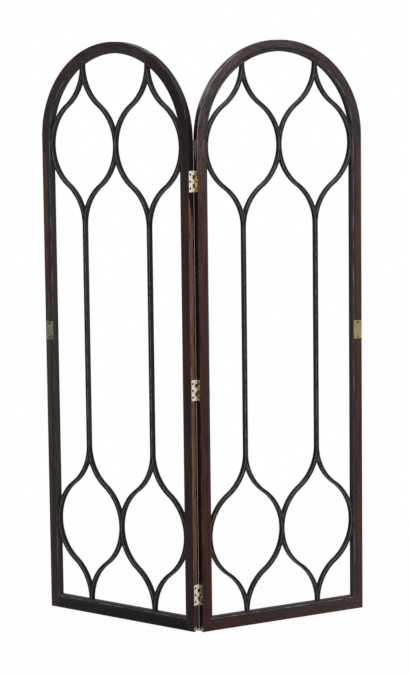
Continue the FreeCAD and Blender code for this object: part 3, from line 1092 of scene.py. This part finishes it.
@dataclass(frozen=True)
class BareWood(Finish):
    """Unpolished wood of the loose keys inside the arch's joints."""

    pale: Colour = paint(168, 128, 92)
    dark: Colour = paint(126, 88, 58)
    roughness: Range = (0.7, 0.85)
    pore_depth: float = 0.1 * MM

    def make(self, leaf: Leaf) -> Material:
        """Make the keys' material for one leaf.

        Args:
            leaf: The leaf.

        Returns:
            The material.
        """
        material, graph, shader = self.start(f"{leaf.side.word}_key_wood")
        grain = graph.place(WoodGrain().tree(), Vector=self.leaf_vector(graph, leaf))
        graph.feed(shader.inputs["Base Color"], graph.blend(grain["Fibre"], self.dark, self.pale))
        graph.feed(shader.inputs["Roughness"], graph.step(grain["Pores"], 0, 1, *self.roughness))
        self.bump(graph, shader, grain["Height"], self.pore_depth)
        return material


@dataclass(frozen=True)
class Brass(Finish):
    """Aged brass, bright where it is handled and brown where it is not."""

    name: str
    bright: Colour = paint(222, 190, 120)
    brown: Colour = paint(92, 66, 34)
    tarnish: float = 0.6
    metal: float = 1.0
    roughness: Range = (0.24, 0.5)
    dirt: Colour = paint(22, 18, 14)
    scratch_dulling: float = 0.08
    scratch_depth: float = 0.02 * MM

    def make(self, heads: Sequence[Vector] = (), radius: float = 0.0) -> Material:
        """Make the brass.

        Args:
            heads: Screw heads in the row frame that dirt has gathered round.
            radius: The heads' radius.

        Returns:
            The material.
        """
        material, graph, shader = self.start(self.name)
        spot = graph.add("TexCoord").outputs["Object"]
        film = graph.place(Tarnish().tree(), Vector=spot, Amount=self.tarnish)
        colour = graph.blend(film["Mask"], self.bright, self.brown)
        for head in heads:
            grime = graph.place(Grime().tree(), Vector=spot, Head=head, Radius=radius)
            colour = graph.blend(grime["Mask"], colour, self.dirt)
        graph.feed(shader.inputs["Base Color"], colour)
        shader.inputs["Metallic"].default_value = self.metal
        dull = graph.step(film["Mask"], 0, 1, *self.roughness)
        dull = graph.math("MULTIPLY_ADD", film["Scratches"], self.scratch_dulling, dull)
        graph.feed(shader.inputs["Roughness"], dull)
        self.bump(graph, shader, film["Scratches"], self.scratch_depth)
        return material


class Bench:
    """Steps at the modelling bench that several pieces share."""

    sharp = math.radians(35)
    smooth = math.radians(40)

    @staticmethod
    def clear() -> None:
        """Leave edit mode and select nothing."""
        if bpy.context.object and bpy.context.object.mode != "OBJECT":
            bpy.ops.object.mode_set(mode="OBJECT")
        bpy.ops.object.select_all(action="DESELECT")

    @staticmethod
    def only(*pieces: Piece) -> None:
        """Select these pieces, the first one active.

        Args:
            pieces: The pieces.
        """
        Bench.clear()
        for piece in pieces:
            piece.select_set(True)
        bpy.context.view_layer.objects.active = pieces[0]

    @staticmethod
    def pick(piece: Piece, kind: Pick, test: Callable[[object], bool]) -> None:
        """Select faces or edges of the piece in edit mode.

        Args:
            piece: The piece, in edit mode.
            kind: Faces or edges.
            test: Says whether one of them is taken.
        """
        bpy.ops.mesh.select_mode(type=kind.value)
        bpy.ops.mesh.select_all(action="DESELECT")
        mesh = bmesh.from_edit_mesh(piece.data)
        for item in (mesh.faces if kind is Pick.FACE else mesh.edges):
            item.select_set(test(item))
        bmesh.update_edit_mesh(piece.data)

    @staticmethod
    def push(rise: float, scale: float) -> None:
        """Extrude the selected faces along Z and draw the new ones in about the origin."""
        bpy.ops.mesh.extrude_region_move(TRANSFORM_OT_translate={"value": (0, 0, rise)})
        bpy.ops.transform.resize(value=(scale, scale, 1), center_override=(0, 0, 0))

    @staticmethod
    def cut(piece: Piece, tool: Piece) -> None:
        """Cut one shape out of a piece and throw the tool away.

        Args:
            piece: The piece to cut.
            tool: The shape to remove.
        """
        Bench.only(piece)
        modifier = piece.modifiers.new("cut", "BOOLEAN")
        modifier.object = tool
        modifier.operation = "DIFFERENCE"
        bpy.ops.object.modifier_apply(modifier=modifier.name)
        bpy.data.objects.remove(tool)

    @staticmethod
    def ease(piece: Piece, width: float, segments: int) -> None:
        """Round the piece's sharp edges.

        Args:
            piece: The piece.
            width: How far the rounding reaches.
            segments: Faces across it.
        """
        Bench.only(piece)
        modifier = piece.modifiers.new("ease", "BEVEL")
        modifier.width = width
        modifier.segments = segments
        modifier.limit_method = "ANGLE"
        modifier.angle_limit = Bench.sharp
        bpy.ops.object.modifier_apply(modifier=modifier.name)
        bpy.ops.object.shade_smooth_by_angle(angle=Bench.smooth)

    @staticmethod
    def stand(piece: Piece, place: Matrix) -> None:
        """Put a piece in its place and keep the place in its mesh.

        Args:
            piece: The piece, modelled at the origin.
            place: Where it goes in the row frame.
        """
        Bench.only(piece)
        piece.matrix_world = place
        bpy.ops.object.transform_apply(location=True, rotation=True, scale=True)


@dataclass
class SlottedScrew:
    """A countersunk screw with a slot, modelled with its head at the origin and facing +Z.

    Dome lists steps up to the head's crown: a share of the rise, and how far the face is drawn in.
    """

    head: float
    shank: float
    length: float
    rim: float = 0.25 * MM
    crown: float = 0.04 * MM
    dome: Sequence[Range] = ((0.7, 0.75), (0.3, 0.5))
    tip: float = 0.05
    slot_width: float = 0.8 * MM
    slot_depth: float = 0.9 * MM
    easing: float = 0.08 * MM
    sides: int = 28
    level: float = 0.9

    def build(self, name: str) -> Piece:
        """Model the screw.

        Args:
            name: The screw's name.

        Returns:
            The screw's object.
        """
        Bench.clear()
        bpy.ops.mesh.primitive_cylinder_add(vertices=self.sides, radius=self.head, depth=self.rim,
                                            location=(0, 0, -self.rim / 2))
        screw = bpy.context.object
        screw.name = name
        bpy.ops.object.transform_apply(location=True)
        bpy.ops.object.mode_set(mode="EDIT")
        Bench.pick(screw, Pick.FACE, lambda face: face.normal.z < -self.level)
        Bench.push(self.shank - self.head, self.shank / self.head)
        Bench.push(self.head + self.rim - self.length, 1)
        Bench.push(-2 * self.shank, self.tip)
        Bench.pick(screw, Pick.FACE, lambda face: face.normal.z > self.level)
        for share, scale in self.dome:
            Bench.push(self.crown * share, scale)
        bpy.ops.object.mode_set(mode="OBJECT")
        Bench.cut(screw, self.slot())
        Bench.ease(screw, self.easing, 1)
        return screw

    def slot(self) -> Piece:
        """Model the bar that cuts the slot.

        Returns:
            The bar's object.
        """
        past_head = 2.4 * self.head
        Bench.clear()
        bpy.ops.mesh.primitive_cube_add(size=1, location=(0, 0, self.crown))
        bar = bpy.context.object
        bar.scale = (past_head, self.slot_width, 2 * self.slot_depth)
        bpy.ops.object.transform_apply(location=True, scale=True)
        return bar


class Screws:
    """All the screws of one node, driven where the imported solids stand."""

    shank_share = 0.47
    spacing = 5 * MM
    golden_turn = math.radians(137.5)

    def __init__(self, leaf: Leaf, name: str, axis: Vector) -> None:
        """Find the screws of a node.

        Args:
            leaf: The leaf.
            name: The node's name without the leaf's.
            axis: The way a screw runs in, in the leaf's frame.
        """
        self.leaf = leaf
        self.name = name
        self.axis = axis
        self.groups = self.split(leaf.points(name))

    @staticmethod
    def split(points: list[Vector]) -> list[list[Vector]]:
        """Part the node's corners into single screws, which stand one above the other.

        Args:
            points: The corners of all the screws.

        Returns:
            The corners of each screw, from the lowest one up.
        """
        groups: list[list[Vector]] = []
        for point in sorted(points, key=lambda corner: corner.z):
            if not groups or point.z - groups[-1][-1].z > Screws.spacing:
                groups.append([])
            groups[-1].append(point)
        return groups

    def heads(self) -> list[Vector]:
        """The middle of each screw's head, in the leaf's frame.

        Returns:
            One point for each screw.
        """
        middles = []
        for group in self.groups:
            top = min(point.dot(self.axis) for point in group)
            low, high = extent(group)
            middle = (low + high) / 2
            middles.append(middle + self.axis * (top - middle.dot(self.axis)))
        return middles

    def head_radius(self) -> float:
        """Half of a head's height, measured on the first screw."""
        heights = [point.z for point in self.groups[0]]
        return (max(heights) - min(heights)) / 2

    def length(self) -> float:
        """How far a screw reaches in."""
        reach = [point.dot(self.axis) for point in self.groups[0]]
        return max(reach) - min(reach)

    def build(self) -> Piece:
        """Model one screw, drive a copy at every place and join them.

        Returns:
            The screws as one piece.
        """
        radius = self.head_radius()
        pattern = SlottedScrew(head=radius, shank=radius * self.shank_share, length=self.length())
        screw = pattern.build("screw_pattern")
        copies = []
        for index, head in enumerate(self.heads()):
            copy = screw.copy()
            copy.data = screw.data.copy()
            bpy.context.scene.collection.objects.link(copy)
            Bench.stand(copy, self.place(head, index))
            copies.append(copy)
        bpy.data.objects.remove(screw)
        Bench.only(*copies)
        bpy.ops.object.join()
        piece = bpy.context.object
        piece.name = f"{self.leaf.side.word}_slotted_{self.name}"
        return piece

    def place(self, head: Vector, index: int) -> Matrix:
        """Stand a screw at its hole, its slot at an angle of its own.

        Args:
            head: The head's middle in the leaf's frame.
            index: The screw's number.

        Returns:
            The screw's place in the row frame.
        """
        out = (self.leaf.stand.to_3x3() @ -self.axis).normalized()
        face = out.to_track_quat("Z", "Y").to_matrix().to_4x4()
        turn = Matrix.Rotation(index * self.golden_turn, 4, "Z")
        return Matrix.Translation(self.leaf.stand @ head) @ face @ turn


@dataclass
class LeafFrame:
    """The stiles, rail, arch, keys and lining slips of one leaf."""

    leaf: Leaf
    boards: Sequence[Board]

    def dress(self) -> None:
        """Polish the boards, the linings and the keys."""
        for board in self.boards:
            Finish.put(Mahogany().make(self.leaf, board), self.leaf.node(board.name))
        slip = LINING.make(self.leaf, "lining")
        for name in ("hinge", "outer", "bottom", "arch"):
            Finish.put(slip, self.leaf.node(f"{name}_lining"))
        Finish.put(BareWood().make(self.leaf), self.leaf.node("arch_keys"))


@dataclass
class Tracery:
    """The mullions and ogee bars of one leaf, with a painted shade for the sides of each mullion."""

    leaf: Leaf
    shades: dict[str, Colour]

    def dress(self) -> None:
        """Stain every bar, with painted shade on the sides, lighter on the mullions."""
        stain = Ebonised()
        finish = stain.make(self.leaf, "ogee")
        for half, shade in self.shades.items():
            for level, meet in product(("lower", "upper"), ("edge", "centre")):
                Finish.put(finish, self.leaf.node(f"{level}_{half}_{meet}_ogee"))
            mullion = f"{half}_mullion"
            shaded_mullion = replace(stain, shade=shade)
            Finish.put(shaded_mullion.make(self.leaf, mullion), self.leaf.node(mullion))


@dataclass
class CoverPlate:
    """The brass plate let into an outer stile, eased all round, and its two screws."""

    leaf: Leaf
    brass: Brass
    corner: float = 0.9 * MM
    corner_segments: int = 4
    easing: float = 0.35 * MM
    easing_segments: int = 2

    def build(self) -> list[Piece]:
        """Model the plate and its screws in place of the plain solids.

        Returns:
            The plate and the screws.
        """
        low, high = self.leaf.box("cover_plate")
        screws = Screws(self.leaf, "cover_plate_screws", Vector((0, 1, 0)))
        Bench.clear()
        bpy.ops.mesh.primitive_cube_add(size=1)
        plate = bpy.context.object
        plate.name = f"{self.leaf.side.word}_eased_cover_plate"
        plate.scale = high - low
        plate.location = (low + high) / 2
        bpy.ops.object.transform_apply(location=True, scale=True)
        bpy.ops.object.mode_set(mode="EDIT")
        Bench.pick(plate, Pick.EDGE, self.runs_through)
        bpy.ops.mesh.bevel(offset=self.corner, segments=self.corner_segments)
        bpy.ops.object.mode_set(mode="OBJECT")
        for head in screws.heads():
            Bench.cut(plate, self.countersink(head, screws.head_radius()))
        Bench.ease(plate, self.easing, self.easing_segments)
        Bench.stand(plate, self.leaf.stand)
        self.turn_out(plate)
        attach(plate, self.leaf.side.body)
        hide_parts(f"{self.leaf.side.word}_cover_plate")
        driven = screws.build()
        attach(driven, self.leaf.side.body)
        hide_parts(f"{self.leaf.side.word}_cover_plate_screws")
        return [plate, driven]

    @staticmethod
    def runs_through(edge: bmesh.types.BMEdge) -> bool:
        """Whether an edge runs through the plate from front to back."""
        start, end = (vertex.co for vertex in edge.verts)
        return abs(start.y - end.y) > abs(start.z - end.z) + abs(start.x - end.x)

    @staticmethod
    def turn_out(piece: Piece) -> None:
        """Point a mirrored piece's faces outwards again.

        Args:
            piece: The piece.
        """
        Bench.only(piece)
        bpy.ops.object.mode_set(mode="EDIT")
        bpy.ops.mesh.select_all(action="SELECT")
        bpy.ops.mesh.normals_make_consistent(inside=False)
        bpy.ops.object.mode_set(mode="OBJECT")

    @staticmethod
    def countersink(head: Vector, radius: float) -> Piece:
        """Model the cone that makes room for a screw's head.

        Args:
            head: The head's middle in the leaf's frame.
            radius: The head's radius.

        Returns:
            The cone's object, wide end to the front.
        """
        room = 0.08 * MM
        sides = 28
        Bench.clear()
        turn = (math.radians(90), 0, 0)
        bpy.ops.mesh.primitive_cone_add(vertices=sides, radius1=0, radius2=2 * radius + room,
                                        depth=2 * radius, location=head, rotation=turn)
        cone = bpy.context.object
        bpy.ops.object.transform_apply(location=True, rotation=True)
        return cone

    def dress(self) -> None:
        """Build the pieces and give them their brass."""
        plate, screws = self.build()
        Finish.put(self.brass.make(), plate)
        dark = replace(PLATE_SCREW, name=f"{self.leaf.side.word}_{PLATE_SCREW.name}")
        Finish.put(dark.make(), screws)


@dataclass
class HingeWork:
    """The three butt hinges: flaps, pins and the screws in both flaps."""

    leaves: Sequence[Leaf]

    def dress(self) -> None:
        """Give the flaps and pins their brass and drive slotted screws."""
        for leaf in self.leaves:
            word = leaf.side.word
            driven = Screws(leaf, "hinge_screws", Vector((1, 0, 0)))
            heads = [leaf.stand @ head for head in driven.heads()]
            each = len(heads) // len(FLAPS[leaf.side])
            for index, brass in enumerate(FLAPS[leaf.side]):
                own = heads[index * each:(index + 1) * each]
                flap = brass.make(own, driven.head_radius())
                Finish.put(flap, frame["nodes"][f"hinge_{index + 1}_{word}_flap"])
            screws = driven.build()
            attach(screws, leaf.side.body)
            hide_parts(f"{word}_hinge_screws")
            dark = replace(HINGE_SCREW, name=f"{word}_{HINGE_SCREW.name}")
            Finish.put(dark.make(), screws)
        pin = Brass("hinge_pin_brass", tarnish=0.8).make()
        for number in (1, 2, 3):
            Finish.put(pin, frame["nodes"][f"hinge_{number}_pin"])


@dataclass(frozen=True)
class Lamp:
    """A square lamp: where it hangs, its side and its power in watts."""

    name: str
    place: Vector
    size: float
    power: float


@dataclass
class Studio:
    """A white room: the floor, the soft lamps and the camera, whose angles are in degrees."""

    floor_size: float = 60.0
    floor_white: Colour = (0.9, 0.9, 0.9, 1.0)
    floor_roughness: float = 0.9
    floor_gloss: float = 0.1
    glow_near: float = 0.97
    glow_far: float = 1.0
    glow_reach: Range = (0.6, 2.2)
    ambient: float = 0.45
    ceiling: Range = (0.1, 0.35)
    mirror_front: float = 0.1
    mirror_left: float = 0.4
    mirror_right: float = 1.1
    mirror_behind: Range = (-0.3, 0.3)
    mirror_across: Range = (-0.3, 0.8)
    lamps: Sequence[Lamp] = (
        Lamp("key", Vector((3.4, -3.6, 3.2)), 2.2, 170),
        Lamp("fill", Vector((-3.6, -3.2, 2.4)), 2.4, 45),
    )
    camera_place: Vector = Vector((0.523, -6.896, 1.737))
    heading: float = 4.195
    pitch: float = -6.992
    roll: float = -0.686
    focal_pixels: float = 2251.3
    image_height: float = 675.0
    sensor: float = 36.0
    view_end: float = 200.0

    def build(self) -> None:
        """Set up everything round the object."""
        self.lay_floor()
        self.light_world()
        self.hang_lamps()
        self.set_camera()
        bpy.context.scene.view_settings.view_transform = "Standard"
        log.info("set up the studio")

    def lay_floor(self) -> None:
        """Lay a pale floor that shows white to the camera and keeps a soft shadow."""
        Bench.clear()
        bpy.ops.mesh.primitive_plane_add(size=self.floor_size)
        floor = bpy.context.object
        floor.name = "floor"
        material, graph, shader = Finish.start("pale_floor")
        shader.inputs["Base Color"].default_value = self.floor_white
        shader.inputs["Roughness"].default_value = self.floor_roughness
        shader.inputs["Specular IOR Level"].default_value = self.floor_gloss
        path = graph.add("LightPath").outputs
        surface = shader.outputs[0]
        spot = graph.add("TexCoord").outputs["Object"]
        length = graph.add("VectorMath", operation="LENGTH")
        graph.feed(length.inputs[0], spot)
        glow = graph.step(length.outputs["Value"], *self.glow_reach, self.glow_near, self.glow_far)
        seen = graph.product(path["Is Camera Ray"], glow)
        mirrored = self.mirrored(graph, spot)
        for share, strength in ((path["Is Glossy Ray"], mirrored), (seen, 1.0)):
            shine = graph.add("Emission")
            graph.feed(shine.inputs["Strength"], strength)
            mix = graph.add("MixShader")
            for socket, value in zip(mix.inputs, (share, surface, shine.outputs[0])):
                graph.feed(socket, value)
            surface = mix.outputs[0]
        graph.feed(graph.tree.nodes["Material Output"].inputs["Surface"], surface)
        Finish.put(material, floor)

    def mirrored(self, graph: Graph, vector: Socket) -> Socket:
        """Say how bright the room looks in polish: dark in front, light behind and lightest on the right.

        Args:
            graph: The tree to draw in.
            vector: A direction, or a place on the floor.

        Returns:
            The brightness.
        """
        x, y, _ = graph.split(vector)
        behind = graph.step(y, *self.mirror_behind)
        across = graph.step(x, *self.mirror_across, self.mirror_left, self.mirror_right)
        return graph.math("MULTIPLY_ADD", behind, across, self.mirror_front)

    def light_world(self) -> None:
        """Light the room evenly and show it white to the camera."""
        world = bpy.data.worlds.new("studio")
        world.use_nodes = True
        bpy.context.scene.world = world
        graph = Graph(world.node_tree)
        background = world.node_tree.nodes["Background"]
        path = graph.add("LightPath").outputs
        seen = graph.math("MAXIMUM", path["Is Camera Ray"], path["Is Transmission Ray"])
        way = graph.add("TexCoord").outputs["Generated"]
        ceiling = graph.step(graph.split(way)[2], *self.ceiling)
        sky = graph.math("MAXIMUM", ceiling, self.mirrored(graph, way))
        glossy = graph.product(path["Is Glossy Ray"], sky)
        diffuse = graph.product(graph.math("SUBTRACT", 1.0, path["Is Glossy Ray"]), self.ambient)
        strength = graph.math("MAXIMUM", seen, graph.math("ADD", glossy, diffuse))
        graph.feed(background.inputs["Strength"], strength)
        background.inputs["Color"].default_value = (1, 1, 1, 1)

    def hang_lamps(self) -> None:
        """Hang a large key lamp on the right and a weak fill on the left, pointed at the screen's middle."""
        target = Vector((0, 0, CAD_BOX[1].z / 2))
        for lamp in self.lamps:
            data = bpy.data.lights.new(lamp.name, "AREA")
            data.size = lamp.size
            data.energy = lamp.power
            hung = bpy.data.objects.new(lamp.name, data)
            hung.location = lamp.place
            hung.rotation_euler = (target - lamp.place).to_track_quat("-Z", "Y").to_euler()
            bpy.context.scene.collection.objects.link(hung)

    def set_camera(self) -> None:
        """Stand the camera where the photograph was taken from."""
        data = bpy.data.cameras.new("camera")
        data.sensor_width = self.sensor
        data.lens = self.focal_pixels * self.sensor / self.image_height
        data.clip_end = self.view_end
        camera = bpy.data.objects.new("camera", data)
        turn = Matrix.Rotation(math.radians(self.heading), 4, "Z")
        tilt = Matrix.Rotation(math.radians(90 + self.pitch), 4, "X")
        roll = Matrix.Rotation(math.radians(self.roll), 4, "Z")
        camera.matrix_world = Matrix.Translation(self.camera_place) @ turn @ tilt @ roll
        bpy.context.scene.collection.objects.link(camera)
        bpy.context.scene.camera = camera


# The left flaps' near-white brass is the key lamp's glare painted into the colour.
GLARING = Brass("left_flap_brass", bright=paint(255, 254, 248), brown=paint(180, 154, 100), tarnish=0.3,
                metal=0.25, roughness=(0.3, 0.45))
BROWNED = Brass("right_flap_brass", bright=paint(204, 174, 100), brown=paint(70, 50, 22), tarnish=0.75)
FLAPS = {
    Side.LEFT: (GLARING, GLARING, GLARING),
    Side.RIGHT: (replace(BROWNED, tarnish=1.5), replace(BROWNED, tarnish=1.15), BROWNED),
}

PLATES = {
    Side.LEFT: Brass("left_plate_brass", bright=paint(150, 134, 110), brown=paint(72, 61, 46), tarnish=0.75,
                     metal=0.3),
    Side.RIGHT: Brass("right_plate_brass", bright=paint(170, 155, 106), brown=paint(94, 80, 44), tarnish=0.65,
                      metal=0.3),
}
PLATE_SCREW = Brass("plate_screw_brass", bright=paint(72, 57, 34), brown=paint(32, 24, 14), tarnish=1.0)
HINGE_SCREW = Brass("hinge_screw_brass", bright=paint(60, 48, 32), brown=paint(28, 22, 15), tarnish=1.0)

# The linings' painted highlight is weak and their painted shade about as dark as their black.
LINING = Ebonised(black=paint(46, 41, 38), brown=paint(68, 58, 50), shade=paint(46, 41, 37), rub=0.1,
                  dusty=0.05, gloss=0.12, roughness=(0.5, 0.65))
# Painted shade on the sides of each mullion, lighter than on the ogee bars.
MULLION_SHADES = {
    Side.LEFT: {"outer": paint(36, 36, 35), "hinge": paint(22, 22, 23)},
    Side.RIGHT: {"outer": paint(37, 33, 30), "hinge": paint(33, 32, 31)},
}

LEFT_OUTER = Tone(paint(66, 40, 37), paint(44, 28, 27))
LEFT_CROWN = Tone(paint(54, 35, 32), paint(37, 25, 24))
LEFT_HINGE = Tone(paint(36, 24, 24), paint(25, 18, 18))
RIGHT_OUTER = Tone(paint(62, 40, 38), paint(42, 28, 28))
RIGHT_HINGE = Tone(paint(66, 43, 42), paint(44, 31, 31))
# line and rim set the strength of the painted arris highlights, and the grey edges carry a painted
# reflection.
BOARDS = {
    Side.LEFT: (
        Board("outer_stile", Tone(paint(90, 58, 51), paint(60, 41, 38)), foot=0.4, cap=Cap(LEFT_OUTER)),
        Board("hinge_stile", Tone(paint(64, 40, 37), paint(40, 27, 27)), dark=(0.75, 1.1), edge=Edge.FLAKED,
              wear=0.3, line=0.1, gloss=0.2, bloom=0.0, shift=1.3, cap=Cap(LEFT_HINGE, foot=0.21, fade=0.24)),
        Board("bottom_rail", Tone(paint(34, 28, 28), paint(24, 21, 22)), lean=90, dark=(0.9, 1.4),
              is_rail=True, wear=0.3, line=0.6),
        Board("arch_outer_haunch", LEFT_OUTER, lean=30, shift=2.1),
        Board("arch_crown", LEFT_CROWN, lean=90, edge=Edge.PAINTED_SHEEN, line=0.12, shift=3.7),
        Board("arch_hinge_haunch", LEFT_HINGE, lean=-30, black=paint(20, 18, 19), dark=(0.75, 1.1),
              edge=Edge.BLACK, line=0.1, gloss=0.17, bloom=0.02, shift=4.9,
              cap=Cap(LEFT_CROWN, foot=-0.15, fade=0.16)),
    ),
    Side.RIGHT: (
        Board("outer_stile", Tone(paint(82, 48, 42), paint(56, 33, 30)), black=paint(38, 33, 33),
              dark=(0.56, 0.88), line=0.5, foot=0.12, shift=5.3, cap=Cap(RIGHT_OUTER)),
        Board("hinge_stile", Tone(paint(72, 38, 33), paint(44, 26, 24)), dark=(0.7, 1.1), edge=Edge.PAINTED_SHEEN,
              wear=0.3, line=0.1, rim=0.6, foot=-0.3, bloom=0.28, shift=6.1,
              cap=Cap(RIGHT_HINGE, foot=0.14, fade=0.16)),
        Board("bottom_rail", Tone(paint(70, 42, 38), paint(46, 30, 29)), lean=90, dark=(0.85, 1.25),
              is_rail=True, line=0.7, shift=7.7),
        Board("arch_outer_haunch", RIGHT_OUTER, lean=30, line=0.5, bloom=0.12, shift=8.9),
        Board("arch_crown", Tone(paint(70, 45, 43), paint(48, 33, 33)), lean=90, black=paint(22, 19, 21),
              dark=(0.5, 0.74), line=0.15, bloom=0.2, shift=9.4),
        Board("arch_hinge_haunch", RIGHT_HINGE, lean=-30, black=paint(28, 24, 26), dark=(0.54, 0.86),
              edge=Edge.PAINTED_SHEEN, wear=0.6, rim=0.6, black_foot=0.085, bloom=0.35, shift=10.2),
    ),
}


def main() -> None:
    """Dress the screen piece by piece and set up the studio."""
    logging.basicConfig(level=logging.INFO, format="%(name)s: %(message)s")
    leaves = [Leaf(side) for side in Side]
    for leaf in leaves:
        LeafFrame(leaf, BOARDS[leaf.side]).dress()
        Tracery(leaf, MULLION_SHADES[leaf.side]).dress()
    for leaf in leaves:
        CoverPlate(leaf, PLATES[leaf.side]).dress()
    HingeWork(leaves).dress()
    Studio().build()


if __name__ == "__main__":
    main()
